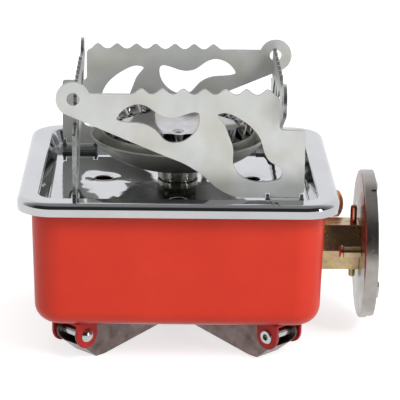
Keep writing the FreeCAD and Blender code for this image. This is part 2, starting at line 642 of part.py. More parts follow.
def tooth_row():
    """Corners of the toothed edge from its last tooth to its first."""
    crest, root = "support_top + tooth_depth", "support_top"
    corners = []
    for number in reversed(range(TOOTH_COUNT)):
        middle = f"{number} * tooth_pitch - tooth_first"
        corners += [
            (f"{middle} + 0.1 * tooth_pitch", f"{crest} - 0.13 * tooth_depth", "0.16 * tooth_pitch", 1),
            (f"{middle} - 0.1 * tooth_pitch", f"{crest} - 0.13 * tooth_depth"),
            (f"{middle} - 0.33 * tooth_pitch", f"{root} + 0.17 * tooth_depth", "0.36 * tooth_pitch", -1),
            (f"{middle} - 0.67 * tooth_pitch", f"{root} + 0.17 * tooth_depth"),
        ]
    corners[-1] = (f"-tooth_first - 0.62 * tooth_pitch", root)
    return corners


def make_support(label, turn):
    """Pot support: a plate with a toothed edge, a lobed arm, two windows and a hinged foot."""
    body = new_body(label, turn)
    plate = new_sketch(body, "XZ_Plane", up=FLOOR, out="support_offset")
    slope = "22.9deg"
    lobe_x, lobe_z = "-lobe_place", "lobe_height"
    step_z = f"(hinge_height + ear_radius + 0.5)"
    corners = [
        ("knuckle_outer", "hinge_height"), ("knuckle_outer", step_z), ("support_reach - 1", step_z, "1", 1),
        ("support_reach", f"{step_z} + 1"), ("support_reach", "ledge_height - 1", "1", 1),
        ("support_reach - 1", "ledge_height"),
        ("support_shoulder + 1.5", "ledge_height", "1.5", -1), ("support_shoulder", "ledge_height + 1.5"),
        ("support_shoulder", "support_top - 1.8", "1.8", 1),
        ("support_shoulder - 1.4", "support_top - 0.2"),
    ]
    corners += tooth_row()
    lobe_edge = "sqrt(lobe_radius ^ 2 - (support_top - lobe_height) ^ 2)"
    corners += [
        (f"{lobe_x} + {lobe_edge}", "support_top", "lobe_radius", 1),
        (f"{lobe_x} - lobe_radius * cos(45deg)", f"{lobe_z} + lobe_radius * sin(45deg)", "lobe_radius", 1),
        (f"{lobe_x} - lobe_radius * sin({slope})", f"{lobe_z} - lobe_radius * cos({slope})"),
        ("-0.1 * support_offset", "support_top * 0.432", "support_offset", -1),
        ("0.29 * support_offset", "support_top * 0.224", "0.55 * support_offset", 1),
        ("0.58 * support_offset", "support_clear"),
        ("knuckle_inner - ear_sheet - 2 * ear_gap", "support_clear"),
        ("knuckle_inner - ear_sheet - 2 * ear_gap", step_z), ("knuckle_inner", step_z),
        ("knuckle_inner", "hinge_height"),
    ]
    draw_outline(plate, corners)
    pad(body, plate, "support_sheet", middle=True)
    windows = new_sketch(body, "XZ_Plane", up=FLOOR, out="support_offset")
    windows.addGeometry(window_curve(WAVE_WINDOW))
    windows.addGeometry(window_curve(DROP_WINDOW))
    draw_circle(windows, lobe_x, lobe_z, "lobe_hole")
    pocket(body, windows, "4 * support_sheet", middle=True)
    knuckle = new_sketch(body, "YZ_Plane", "-support_offset", HINGE_LEVEL, "knuckle_inner")
    draw_circle(knuckle, "0", "0", "knuckle_width")
    pad(body, knuckle, "knuckle_outer - knuckle_inner")
    bore = new_sketch(body, "YZ_Plane", "-support_offset", HINGE_LEVEL, "knuckle_inner")
    draw_circle(bore, "0", "0", "hinge_pin + 2 * hinge_play")
    pocket(body, bore, "knuckle_outer - knuckle_inner", reverse=True)


def make_hinge_bracket(label, turn):
    """Hinge bracket on the tray: a welded strip with an ear at each end of the knuckle."""
    body = new_body(label, turn)
    inner, outer = "knuckle_inner - ear_gap - ear_sheet", "knuckle_outer + ear_gap + ear_sheet"
    block = new_sketch(body, "YZ_Plane", "-support_offset", FLOOR, inner)
    strip_end = "ear_radius + bracket_strip"
    draw_outline(block, [
        ("-ear_radius", "0"), (strip_end, "0"), (strip_end, "bracket_sheet"),
        ("ear_radius + 1", "bracket_sheet"), ("ear_radius", "hinge_height", "ear_radius", 1),
        ("0", "hinge_height + ear_radius", "ear_radius", 1), ("-ear_radius", "hinge_height"),
    ])
    pad(body, block, f"({outer}) - ({inner})")
    gap = new_sketch(body, "YZ_Plane", "-support_offset", FLOOR, "knuckle_inner - ear_gap")
    draw_outline(gap, [
        ("-ear_radius - 1", "-1"), ("ear_radius", "-1"), ("ear_radius", "bracket_sheet"),
        (f"{strip_end} + 1", "bracket_sheet"), (f"{strip_end} + 1", "hinge_height + 2 * ear_radius"),
        ("-ear_radius - 1", "hinge_height + 2 * ear_radius"),
    ])
    pocket(body, gap, "knuckle_outer - knuckle_inner + 2 * ear_gap", reverse=True)
    hole = new_sketch(body, "YZ_Plane", "-support_offset", HINGE_LEVEL, inner)
    draw_circle(hole, "0", "0", "hinge_pin + 2 * fit_gap")
    pocket(body, hole, f"({outer}) - ({inner})", reverse=True)


def make_hinge_pins():
    """The four hinge pins of the pot supports."""
    body = new_body("support_hinge_pins")
    start = "knuckle_inner - ear_gap - ear_sheet - 0.3"
    sketch = new_sketch(body, "YZ_Plane", "-support_offset", HINGE_LEVEL, start)
    draw_circle(sketch, "0", "0", "hinge_pin")
    rod = pad(body, sketch, "knuckle_outer - knuckle_inner + 2 * ear_gap + 2 * ear_sheet + 0.6")
    ring_of(body, rod, 4)


def make_leg_bracket(label, turn):
    """Leg bracket: a plate welded under the box with two round-ended lugs."""
    body = new_body(label, turn)
    span = "(leg_width + 2 * leg_gap + 2 * lug_sheet)"
    side = new_sketch(body, "XZ_Plane", across="leg_place")
    draw_outline(side, [
        ("lug_radius", "leg_pin_height"), ("lug_radius", "box_base"), ("-lug_radius", "box_base"),
        ("-lug_radius", "leg_pin_height", "lug_radius", 1), ("0", "leg_pin_height - lug_radius", "lug_radius", 1),
    ])
    pad(body, side, span, middle=True)
    gap = new_sketch(body, "XZ_Plane", across="leg_place")
    reach = "(lug_radius + 1)"
    draw_outline(gap, rectangle(f"-{reach}", "-1", reach, "box_base - lug_sheet"))
    pocket(body, gap, "leg_width + 2 * leg_gap", middle=True)
    hole = new_sketch(body, "XZ_Plane", across="leg_place", up="leg_pin_height")
    draw_circle(hole, "0", "0", "leg_pin + 2 * fit_gap")
    pocket(body, hole, f"2 * {span}", middle=True)


def make_leg(label, turn):
    """Folding leg: a tapered channel, web down, with a flat on the web where it stands."""
    body = new_body(label, turn)
    side = new_sketch(body, "XZ_Plane", across="leg_place")
    pin, eye, slope = "leg_pin_height", "leg_eye", "leg_toe_angle * 1deg"
    heel_x, heel_z = f"({eye} * sin({slope}))", f"({pin} - {eye} * cos({slope}))"
    toe = f"({heel_x} - {heel_z} / tan({slope}))"
    flat_end = f"({toe} - leg_flat)"
    draw_outline(side, [
        (toe, "0"), (heel_x, heel_z, eye, 1), ("0", f"{pin} + {eye}"),
        ("-leg_length + 1.5", "leg_rise + leg_tip", "1.5", 1), ("-leg_length", "leg_rise + leg_tip - 1.5"),
        ("-leg_length", "leg_rise"), (flat_end, "0"),
    ])
    pad(body, side, "leg_width", middle=True)
    channel = new_sketch(body, "XZ_Plane", across="leg_place")
    thin = "leg_sheet"
    lip = f"({heel_z} * 0.8)"
    inner_toe = f"({toe} - {thin} * tan({slope} / 2))"
    draw_outline(channel, [
        (inner_toe, thin), (f"{inner_toe} + ({lip} - {thin}) / tan({slope})", lip), (f"2 * {eye}", lip),
        (f"2 * {eye}", f"{pin} + 2 * {eye}"), (f"-leg_length - 2", f"{pin} + 2 * {eye}"),
        ("-leg_length - 2", f"leg_rise + {thin} + 2 * leg_rise / (leg_length + {flat_end})"),
        (flat_end, thin),
    ])
    pocket(body, channel, f"leg_width - 2 * {thin}", middle=True)
    hole = new_sketch(body, "XZ_Plane", across="leg_place", up=pin)
    draw_circle(hole, "0", "0", "leg_pin + 2 * leg_play")
    pocket(body, hole, "2 * leg_width", middle=True)


def make_leg_rivets():
    """The four leg rivets: a domed head on one side and a rolled tubular end on the other."""
    body = new_body("leg_rivets")
    half = "(leg_width / 2 + leg_gap + lug_sheet)"
    sketch = new_sketch(body, "XY_Plane", across="leg_place", out="leg_pin_height")
    shank, head, bore = "leg_pin / 2", "rivet_head / 2", "rivet_bore / 2"
    dome = "((rivet_head / 2) ^ 2 + rivet_dome ^ 2) / (2 * rivet_dome)"
    draw_outline(sketch, [
        ("0", f"-{half} + 3"), (bore, f"-{half} + 2"), (bore, f"-{half} - rivet_tail"),
        (f"{head} - 0.4", f"-{half} - rivet_tail"), (f"{head} - 0.1", f"-{half} - rivet_tail / 2"),
        (f"{head} - 0.1", f"-{half}"), (shank, f"-{half}"), (shank, half), (head, half, dome, 1),
        ("0", f"{half} + rivet_dome"),
    ])
    rivet = turned(body, sketch)
    ring_of(body, rivet, 4)
    body.Placement = FreeCAD.Placement(FreeCAD.Vector(), FreeCAD.Rotation(FreeCAD.Vector(0, 0, 1), 45))


def make_valve():
    """Valve: a hexagonal bar outside the box and a threaded end with a lock nut inside."""
    body = new_body("valve_body")
    bar = new_sketch(body, "YZ_Plane", up="valve_height", out=SIDE_WALL)
    draw_outline(bar, hexagon("valve_flat"))
    pad(body, bar, f"coupling_place - {SIDE_WALL}")
    stub = new_sketch(body, "YZ_Plane", up="valve_height", out=SIDE_WALL)
    draw_circle(stub, "0", "0", "valve_thread")
    pad(body, stub, f"{SIDE_WALL} - tap_place - tap_width / 2", reverse=True)
    bore = new_sketch(body, "YZ_Plane", up="valve_height", out="coupling_place")
    draw_circle(bore, "0", "0", "valve_bore")
    pocket(body, bore, "coupling_place - tap_place - tap_width / 2")
    for level, reverse in ((f"valve_height + valve_flat / 2", False), ("valve_height - valve_flat / 2", True)):
        seat = new_sketch(body, "XY_Plane", across="coupling_place - stop_pin_inset", out=level)
        draw_circle(seat, "0", "0", "stop_pin_width + 2 * fit_gap")
        pocket(body, seat, "stop_pin_seat", reverse=reverse)
    nut = new_body("valve_lock_nut")
    inside = f"{SIDE_WALL} - box_wall - valve_nut_flat * {DRAFT}"
    hexagonal = new_sketch(nut, "YZ_Plane", up="valve_height", out=inside)
    draw_outline(hexagonal, hexagon("valve_nut_flat"))
    draw_circle(hexagonal, "0", "0", "valve_thread + 2 * fit_gap")
    pad(nut, hexagonal, "valve_nut_height", reverse=True)
    pin_x, pin = "coupling_place - stop_pin_inset", "stop_pin_width / 2"
    top, under = "(valve_height + valve_flat / 2)", "(valve_height - valve_flat / 2)"
    lathe("stop_pin", [
        ("0", f"{top} - stop_pin_seat + 0.05"), (pin, f"{top} - stop_pin_seat + 0.05"),
        (pin, f"{top} + stop_pin_rise - {pin}", pin, 1), ("0", f"{top} + stop_pin_rise"),
    ], across=pin_x)
    lathe("bleed_screw", [
        ("0", f"{under} + stop_pin_seat - 0.05"), ("0", f"{under} - stop_pin_drop"),
        (f"{pin} - 0.4", f"{under} - stop_pin_drop"), (pin, f"{under} - stop_pin_drop + 0.6"),
        (pin, f"{under} + stop_pin_seat - 0.05"),
    ], across=pin_x)


def make_coupling():
    """Coupling disc with its notched rim, and what stands on its canister side."""
    half, rim, wall = "coupling_width / 2", "coupling_rim", "coupling_wall"
    body = lathe("coupling_disc", [
        ("fit_gap", "valve_bore / 2"), ("fit_gap", f"{half} - rim_round", "rim_round", -1),
        ("fit_gap + rim_round", half),
        (rim, half), (rim, f"{half} - {wall}"), ("coupling_sheet", f"{half} - {wall}"),
        ("coupling_sheet", "valve_bore / 2"),
    ], across="coupling_place", up="valve_height", axis="H_Axis")
    notch = new_sketch(body, "YZ_Plane", up="valve_height", out="coupling_place + coupling_rim")
    low = "(180 - notch_turn - notch_angle / 2) * 1deg"
    high = "(180 - notch_turn + notch_angle / 2) * 1deg"
    far, near = f"({half} + 1)", f"({half} - {wall} - 0.4)"
    draw_outline(notch, [
        (f"{near} * cos({low})", f"{near} * sin({low})"), (f"{far} * cos({low})", f"{far} * sin({low})", far, 1),
        (f"{far} * cos({high})", f"{far} * sin({high})"), (f"{near} * cos({high})", f"{near} * sin({high})", near, -1),
    ])
    cut = pocket(body, notch, "rim_notch")
    repeat_about_valve(body, cut, 3)
    hole = new_sketch(body, "YZ_Plane", up="valve_height + plunger_lift", out="coupling_place - 1")
    draw_circle(hole, "-plunger_side", "0", "plunger_nose_width + 2 * plunger_play")
    pocket(body, hole, "coupling_sheet + 2", reverse=True)
    ring = "collar_bore / 2"
    lathe("collar_ring", [
        ("0", ring), ("collar_height", ring), ("collar_height", f"{ring} + collar_wall"),
        ("0", f"{ring} + collar_wall"),
    ], across=DISC_FACE, up="valve_height", axis="H_Axis")
    claws = new_body("canister_claws")
    profile = new_sketch(claws, "XZ_Plane", DISC_FACE, "valve_height")
    foot = f"({ring} + collar_wall + fit_gap)"
    draw_outline(profile, [
        ("0", foot), ("claw_height - claw_sheet", foot), ("claw_height - claw_sheet", f"{foot} - claw_hook"),
        ("claw_height", f"{foot} - claw_hook"), ("claw_height", f"{foot} + claw_sheet"),
        ("0", f"{foot} + claw_sheet"),
    ])
    claw = pad(claws, profile, "claw_width", middle=True)
    repeat_about_valve(claws, claw, 3)
    lathe("nozzle_seat", [
        ("0", "inlet_bore / 2"), ("seat_height", "inlet_bore / 2"), ("seat_height", "seat_width / 2 - 0.5"),
        ("seat_height - 0.5", "seat_width / 2"), ("0", "seat_width / 2"),
    ], across=DISC_FACE, up="valve_height", axis="H_Axis")
    lathe("nozzle_seal", [
        ("0", "inlet_bore / 2"), ("seal_sheet", "inlet_bore / 2"),
        ("seal_sheet", "seal_width / 2"), ("0", "seal_width / 2"),
    ], across=f"{DISC_FACE} + seat_height", up="valve_height", axis="H_Axis")
    head, shank, nose = "plunger_head / 2", "plunger_width / 2", "plunger_nose_width / 2"
    lathe("lock_plunger", [
        ("-plunger_length", "0"), ("-plunger_length", f"{head} - 0.4"), ("-plunger_length + 0.4", head),
        ("-plunger_length + plunger_head_height", head), ("-plunger_length + plunger_head_height", shank),
        ("-fit_gap", shank), ("-fit_gap", nose), ("coupling_sheet + plunger_nose - 0.5", nose),
        ("coupling_sheet + plunger_nose", f"{nose} - 0.5"), ("coupling_sheet + plunger_nose", "0"),
    ], across="coupling_place", up="valve_height + plunger_lift", out="plunger_side", axis="H_Axis")


def make_tap():
    """Tap in the box: a brass block, its gland nut, and the spindle with the control knob."""
    block = new_body("tap_block")
    half_x, half_y = "tap_width / 2", "tap_depth / 2"
    base = new_sketch(block, "XY_Plane", out="valve_height - tap_height / 2")
    draw_outline(base, rectangle(f"tap_place - {half_x}", f"-{half_y}", f"tap_place + {half_x}", half_y))
    pad(block, base, "tap_height")
    bore = new_sketch(block, "XZ_Plane", "tap_place", "valve_height", f"-{half_y}")
    draw_circle(bore, "0", "0", "spindle_width + 2 * spindle_play")
    pocket(block, bore, f"{half_y} + fit_gap", reverse=True)
    way = new_sketch(block, "YZ_Plane", up="valve_height", out=f"tap_place + {half_x}")
    draw_circle(way, "0", "0", "valve_bore")
    pocket(block, way, "tap_width")
    gland = new_body("gland_nut")
    nut = new_sketch(gland, "XZ_Plane", "tap_place", "valve_height", f"-{half_y}")
    draw_outline(nut, hexagon("gland_flat"))
    draw_circle(nut, "0", "0", "spindle_width + 2 * spindle_play")
    pad(gland, nut, "gland_height", reverse=True)
    spindle = new_body("tap_spindle")
    rod = new_sketch(spindle, "XZ_Plane", "tap_place", "valve_height")
    draw_circle(rod, "0", "0", "spindle_width")
    pad(spindle, rod, f"{FAR_WALL} + knob_gap + knob_recess - fit_gap", reverse=True)
    knob = new_body("control_knob")
    back = f"-({FAR_WALL} + knob_gap)"
    disc = new_sketch(knob, "XZ_Plane", "tap_place", "valve_height", back)
    draw_circle(disc, "0", "0", "knob_width")
    pad(knob, disc, "knob_height", reverse=True)
    front = value(f"{FAR_WALL} + knob_gap + knob_height")
    round_edges(knob, lambda edge: edge.BoundBox.YMin > front - 0.01, "knob_round")
    socket = new_sketch(knob, "XZ_Plane", "tap_place", "valve_height", back)
    draw_circle(socket, "0", "0", "spindle_width + 2 * fit_gap")
    pocket(knob, socket, "knob_recess")
    flute = new_sketch(knob, "XZ_Plane", "tap_place", "valve_height", back)
    draw_circle(flute, "knob_width / 2 + knob_flute * 0.2", "0", "knob_flute")
    cut = pocket(knob, flute, "knob_height + 1")
    ring = knob.newObject("PartDesign::PolarPattern", "control_knob_ring")
    ring.Originals = [cut]
    ring.Axis = (disc, ["N_Axis"])
    ring.Angle = 360.0
    ring.Occurrences = KNOB_FLUTES
    knob.Tip = ring
    doc.recompute()
    rib = new_sketch(knob, "XZ_Plane", "tap_place", "valve_height", f"-({FAR_WALL} + knob_gap + knob_height)")
    draw_outline(rib, rectangle("-pointer_width / 2", "knob_width * 0.1", "pointer_width / 2", "knob_width * 0.4"))
    pad(knob, rib, "pointer_width / 2", reverse=True)


def make_jet():
    """Jet in the tap block, and the mixing tube that bends up to the burner's column."""
    jet = new_body("gas_jet")
    base = new_sketch(jet, "YZ_Plane", up="valve_height", out=TAP_FACE)
    draw_outline(base, hexagon("jet_flat"))
    pad(jet, base, "jet_length", reverse=True)
    cone = new_sketch(jet, "XZ_Plane", f"{TAP_FACE} - jet_length", "valve_height")
    draw_outline(cone, [
        ("0", "jet_hole / 2"), ("-jet_tip", "jet_hole / 2"), ("-jet_tip", "jet_flat * 0.15"),
        ("0", "jet_flat * 0.45"),
    ])
    turned(jet, cone, axis="H_Axis")
    hole = new_sketch(jet, "YZ_Plane", up="valve_height", out=TAP_FACE)
    draw_circle(hole, "0", "0", "jet_hole")
    pocket(jet, hole, "jet_length + jet_tip")
    tube = new_body("mixing_tube")
    section = new_sketch(tube, "YZ_Plane", up="valve_height", out="tube_mouth")
    draw_circle(section, "0", "0", "tube_width")
    draw_circle(section, "0", "0", "tube_width - 2 * tube_wall")
    top = f"({UNDER_FLOOR} - column_nut_height - 0.1)"
    route = new_sketch(tube, "XZ_Plane")
    turn_level = "valve_height + tube_bend"
    points = [("tube_mouth", "valve_height"), ("tube_bend", "valve_height"), ("0", turn_level), ("0", top)]
    spots = [FreeCAD.Vector(value(across), value(up), 0) for across, up in points]
    route.addGeometry(Part.LineSegment(spots[0], spots[1]))
    route.addGeometry(arc_between(spots[1], spots[2], value("tube_bend"), -1))
    route.addGeometry(Part.LineSegment(spots[2], spots[3]))
    route.addConstraint(Sketcher.Constraint("Coincident", 0, 2, 1, 2))
    route.addConstraint(Sketcher.Constraint("Coincident", 1, 1, 2, 1))
    for element, end, (across, up) in ((0, 1, points[0]), (0, 2, points[1]), (2, 1, points[2]), (2, 2, points[3])):
        hold_point(route, element, end, across, up)
    number = route.addConstraint(Sketcher.Constraint("Radius", 1, value("tube_bend")))
    route.setExpression(f"Constraints[{number}]", bound("tube_bend"))
    shaped(tube, "AdditivePipe", section, Spine=route)


def make_igniter():
    """Igniter through the side wall with its sprung button, and the spark electrode."""
    place = {"across": BUTTON_WALL, "up": "igniter_height", "out": "-igniter_back", "axis": "H_Axis"}
    barrel, bore = "igniter_barrel / 2", "(button_width / 2 + button_play)"
    depth, tip = "(button_depth + button_travel + 1)", "(igniter_flange_sheet + button_rise)"
    lathe("igniter_barrel", [
        ("-igniter_length", "0"), ("-igniter_length", barrel), ("0", barrel), ("0", "igniter_flange / 2"),
        ("igniter_flange_sheet - 0.5", "igniter_flange / 2"),
        ("igniter_flange_sheet", "igniter_flange / 2 - 0.5"), ("igniter_flange_sheet", bore),
        (f"-{depth}", bore), (f"-{depth}", "0"),
    ], **place)
    dome = "(button_width ^ 2 / 4 + button_dome ^ 2) / (2 * button_dome)"
    lathe("igniter_button", [
        ("-button_depth", "0"), ("-button_depth", "button_width / 2"),
        (f"{tip} - button_dome", "button_width / 2", dome, -1), (tip, "0"),
    ], **place)
    across, back = electrode_axis()
    spot = {"across": across, "up": FLOOR, "out": f"-({back})"}
    half, wire = "electrode_width / 2", "electrode_wire / 2"
    lathe("electrode_ceramic", [
        ("0", "-electrode_tail"), (half, "-electrode_tail"), (half, "electrode_top - 0.4"),
        (f"{half} - 0.4", "electrode_top"), ("0", "electrode_top"),
    ], **spot)
    lathe("electrode_wire", [
        ("0", "electrode_top"), (wire, "electrode_top"), (wire, "electrode_top + electrode_reach"),
        ("0", "electrode_top + electrode_reach + 0.3"),
    ], **spot)


def make_spark_lead():
    """Insulated lead: straight runs along the axes, joined by quarter bends."""
    across, back = (value(text) for text in electrode_axis())
    level, side = value("igniter_height"), value("igniter_back")
    start = value(f"{BUTTON_WALL} - igniter_length - fit_gap")
    finish = value(f"{FLOOR} - electrode_tail - fit_gap")
    corners = [FreeCAD.Vector(*spot) for spot in (
        (start, side, level), (across, side, level), (across, back, level), (across, back, finish),
    )]
    radius = value("lead_bend")
    edges = []
    place = corners[0]
    for before, corner, after in zip(corners, corners[1:], corners[2:]):
        back_way, on_way = (before - corner).normalize(), (after - corner).normalize()
        enter, leave = corner + back_way * radius, corner + on_way * radius
        middle = corner + (back_way + on_way) * (radius * (1 - math.sqrt(0.5)))
        edges += [Part.LineSegment(place, enter).toShape(), Part.Arc(enter, middle, leave).toShape()]
        place = leave
    edges.append(Part.LineSegment(place, corners[-1]).toShape())
    ring = Part.Circle(corners[0], FreeCAD.Vector(1, 0, 0), value("lead_width / 2")).toShape()
    lead = doc.addObject("Part::Feature", "spark_lead")
    lead.Label = "spark_lead"
    lead.Shape = Part.Wire(edges).makePipeShell([Part.Wire([ring])], True, True)
    nodes.append(lead)


def repeat_about_valve(body, feature, count):
    """Repeat a feature round the valve's axis, which an empty sketch's own axis marks."""
    marker = new_sketch(body, "XZ_Plane", up="valve_height")
    pattern = body.newObject("PartDesign::PolarPattern", f"{body.Label}_ring")
    pattern.Originals = [feature]
    pattern.Axis = (marker, ["H_Axis"])
    pattern.Angle = 360.0
    pattern.Occurrences = count
    body.Tip = pattern
    doc.recompute()


def electrode_axis():
    """The electrode's place in plan."""
    return ("electrode_place * cos(electrode_turn * 1deg)", "electrode_place * sin(electrode_turn * 1deg)")


make_box()
make_tray()
make_column()
make_bowl()
make_cup()
make_crown()
for number, side in enumerate(("front", "right", "back", "left")):
    make_support(f"pot_support_{side}", 90.0 * number)
    make_hinge_bracket(f"hinge_bracket_{side}", 90.0 * number)
make_hinge_pins()
for number, side in enumerate(("front_left", "front_right", "back_right", "back_left")):
    make_leg_bracket(f"leg_bracket_{side}", 90.0 * number - 135)
    make_leg(f"leg_{side}", 90.0 * number - 135)
make_leg_rivets()
make_valve()
make_coupling()
make_tap()
make_jet()
make_igniter()
make_spark_lead()

doc.recompute()
for item in doc.Objects:
    if "Invalid" in item.State or "Error" in item.State:
        raise ValueError(f"{item.Label} failed: {item.State}")
os.makedirs("parts", exist_ok=True)
for node in nodes:
    if node.Shape.isNull() or not node.Shape.isValid():
        raise ValueError(f"{node.Label} has no valid shape")
    node.Shape.exportStep(f"parts/{node.Label}.step")
    print(f"{node.Label}: {len(node.Shape.Solids)} solids, {node.Shape.Volume:.1f} mm3")
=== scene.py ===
"""Looks of a small folding gas stove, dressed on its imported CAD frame.

Everything is in metres in the frame of the part: the origin is on the ground under the burner,
+Z is up, +X points at the gas coupling and -Y at the plain wall that the photograph shows.
"""

import json
import logging
import math
from dataclasses import dataclass
from enum import Enum
from functools import partial

import bmesh
import bpy
from bmesh.types import BMesh, BMVert
from bpy.types import Material, Mesh, Node, NodeSocket, NodeTree, Object
from mathutils import Matrix, Vector


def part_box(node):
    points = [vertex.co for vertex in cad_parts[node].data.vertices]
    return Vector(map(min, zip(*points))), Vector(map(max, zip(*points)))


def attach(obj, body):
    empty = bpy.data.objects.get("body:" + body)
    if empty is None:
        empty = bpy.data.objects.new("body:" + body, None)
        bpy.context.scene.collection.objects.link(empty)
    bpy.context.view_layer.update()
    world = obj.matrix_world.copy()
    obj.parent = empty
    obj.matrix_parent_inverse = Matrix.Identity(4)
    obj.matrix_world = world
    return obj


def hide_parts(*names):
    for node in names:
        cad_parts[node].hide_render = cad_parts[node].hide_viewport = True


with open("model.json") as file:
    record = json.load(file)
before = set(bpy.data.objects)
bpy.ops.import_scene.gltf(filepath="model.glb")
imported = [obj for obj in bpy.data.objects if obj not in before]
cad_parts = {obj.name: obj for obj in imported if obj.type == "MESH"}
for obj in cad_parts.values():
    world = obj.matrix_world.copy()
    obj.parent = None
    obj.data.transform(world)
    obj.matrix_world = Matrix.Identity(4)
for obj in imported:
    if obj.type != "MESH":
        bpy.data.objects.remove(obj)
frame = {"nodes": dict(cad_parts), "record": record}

MM = 0.001
LOG = logging.getLogger("stove")
Pair = tuple[float, float]
Triple = tuple[float, float, float]
Ring = list[Triple]
Loop = list[BMVert]
VALVE_UP = 31.1
WELD_MM = 0.002
FLAT_DEGREES = 0.4
PATCH_RANGE = 0.22
SMOOTHEST = 0.02
BUMP_STRENGTH = 0.6


def linear(code: str) -> tuple[float, float, float, float]:
    """Turn an sRGB hex colour into linear values.

    Args:
        code: the colour, such as "#d6412a".

    Returns:
        Red, green, blue and an alpha of 1.
    """
    parts = [int(code[place:place + 2], 16) / 255 for place in (1, 3, 5)]
    red, green, blue = [
        part / 12.92 if part <= 0.04045 else ((part + 0.055) / 1.055) ** 2.4 for part in parts
    ]
    return red, green, blue, 1.0


def add_node(tree: NodeTree, kind: str, settings: dict | None = None, links: dict | None = None) -> Node:
    """Add a node with its settings and links.

    Args:
        tree: the tree that gets the node.
        kind: the node's type.
        settings: values for its properties, or for its inputs by name or number.
        links: what feeds its inputs, by name or number: a socket, or a node for its first output.

    Returns:
        The new node.
    """
    node = tree.nodes.new(kind)
    for name, setting in (settings or {}).items():
        if isinstance(name, str) and hasattr(node, name):
            setattr(node, name, setting)
        else:
            node.inputs[name].default_value = setting
    for name, source in (links or {}).items():
        tree.links.new(source.outputs[0] if isinstance(source, Node) else source, node.inputs[name])
    return node


class Grain(Enum):
    """How the surface of a finish was made."""

    CLOUDY = "cloudy"
    BRUSHED = "brushed"
    SPUN = "spun"
    PEEL = "peel"


@dataclass(frozen=True)
class Finish:
    """A finish: its colours, its gloss and the marks that its making left.

    spread is how far the roughness strays, patch_mm the size of the colour's patches, grain_mm the
    spacing of the grain, relief_mm its height and along its stretch on each axis.
    """

    name: str
    colour: str
    shade: str
    metallic: float
    roughness: float
    spread: float = 0.06
    patch_mm: float = 5.0
    grain: Grain = Grain.CLOUDY
    grain_mm: float = 0.5
    relief_mm: float = 0.01
    along: Triple = (1.0, 1.0, 1.0)
    contrast: float = 1.0
    tint: str = ""
    tint_share: float = 0.0
    specular: float = 0.5

    def material(self) -> Material:
        """The material of this finish, made once."""
        known = bpy.data.materials.get(self.name)
        return known if known else self._make()

    def _make(self) -> Material:
        """Build the node tree.

        Returns:
            The new material.
        """
        material = bpy.data.materials.new(self.name)
        material.use_nodes = True
        tree = material.node_tree
        tree.nodes.clear()
        add = partial(add_node, tree)
        place = add("ShaderNodeTexCoord").outputs["Object"]
        patches = add("ShaderNodeTexNoise",
                      {"Scale": 1 / (self.patch_mm * MM), "Detail": 5.0, "Roughness": 0.6},
                      {"Vector": place})
        spread = PATCH_RANGE / self.contrast
        level = add("ShaderNodeMapRange", {"From Min": 0.5 - spread, "From Max": 0.5 + spread},
                    {"Value": patches})
        blend = add("ShaderNodeMix", {"data_type": "RGBA", 6: linear(self.colour), 7: linear(self.shade)},
                    {0: level})
        colour = blend.outputs[2]
        if self.tint:
            colour = self._tinted(tree, place, colour)
        marks = self._marks(tree, place)
        gloss = add("ShaderNodeMapRange",
                    {"From Min": 0.25, "From Max": 0.75,
                     "To Min": max(self.roughness - self.spread, SMOOTHEST),
                     "To Max": self.roughness + self.spread}, {"Value": patches})
        bump = add("ShaderNodeBump",
                   {"Strength": BUMP_STRENGTH, "Distance": self.relief_mm * MM}, {"Height": marks})
        shader = add("ShaderNodeBsdfPrincipled",
                     {"Metallic": self.metallic, "Specular IOR Level": self.specular},
                     {"Base Color": colour, "Roughness": gloss, "Normal": bump})
        add("ShaderNodeOutputMaterial", links={"Surface": shader})
        return material

    def _tinted(self, tree: NodeTree, place: NodeSocket, colour: NodeSocket) -> NodeSocket:
        """Lay clouds of the tint over the colour.

        Args:
            tree: the material's tree.
            place: the coordinates of the surface.
            colour: the colour so far.

        Returns:
            A socket with the tinted colour.
        """
        add = partial(add_node, tree)
        clouds = add("ShaderNodeTexNoise",
                     {"noise_dimensions": "4D", "W": 3.0, "Scale": 0.8 / (self.patch_mm * MM)},
                     {"Vector": place})
        share = add("ShaderNodeMapRange", {"From Min": 0.45, "From Max": 0.62, "To Max": self.tint_share},
                    {"Value": clouds})
        mixed = add("ShaderNodeMix", {"data_type": "RGBA", 7: linear(self.tint)}, {0: share, 6: colour})
        return mixed.outputs[2]

    def _marks(self, tree: NodeTree, place: NodeSocket) -> NodeSocket:
        """Build the relief of the grain.

        Args:
            tree: the material's tree.
            place: the coordinates of the surface.

        Returns:
            A socket with the height of the marks.
        """
        add = partial(add_node, tree)
        scale = 1 / (self.grain_mm * MM)
        source = place
        if self.grain in (Grain.SPUN, Grain.BRUSHED):
            source = add("ShaderNodeVectorMath", {"operation": "MULTIPLY", 1: self.along},
                         {0: place}).outputs[0]
        if self.grain is Grain.SPUN:
            length = add("ShaderNodeVectorMath", {"operation": "LENGTH"}, {0: source})
            line = add("ShaderNodeCombineXYZ", links={"X": length.outputs["Value"]})
            source = line.outputs[0]
        detail = 2.0 if self.grain is Grain.PEEL else 4.0
        noise = add("ShaderNodeTexNoise", {"Scale": scale, "Detail": detail}, {"Vector": source})
        return noise.outputs[0]


# Gloss enamel baked on deep-drawn steel: an even orange red over the slow waves of the drawing.
ENAMEL = Finish("baked_enamel_on_steel", "#d83519", "#cd2e16", 0.0, 0.33, spread=0.04, patch_mm=34.0,
                grain=Grain.PEEL, grain_mm=9.0, relief_mm=0.10, specular=0.36)
# The same enamel sprayed thinly on the leg brackets: a deeper, cooler red.
BRACKET_ENAMEL = Finish("thin_enamel_on_brackets", "#bd201d", "#9c1a18", 0.0, 0.35, grain=Grain.PEEL,
                        grain_mm=1.0, relief_mm=0.02, specular=0.3)
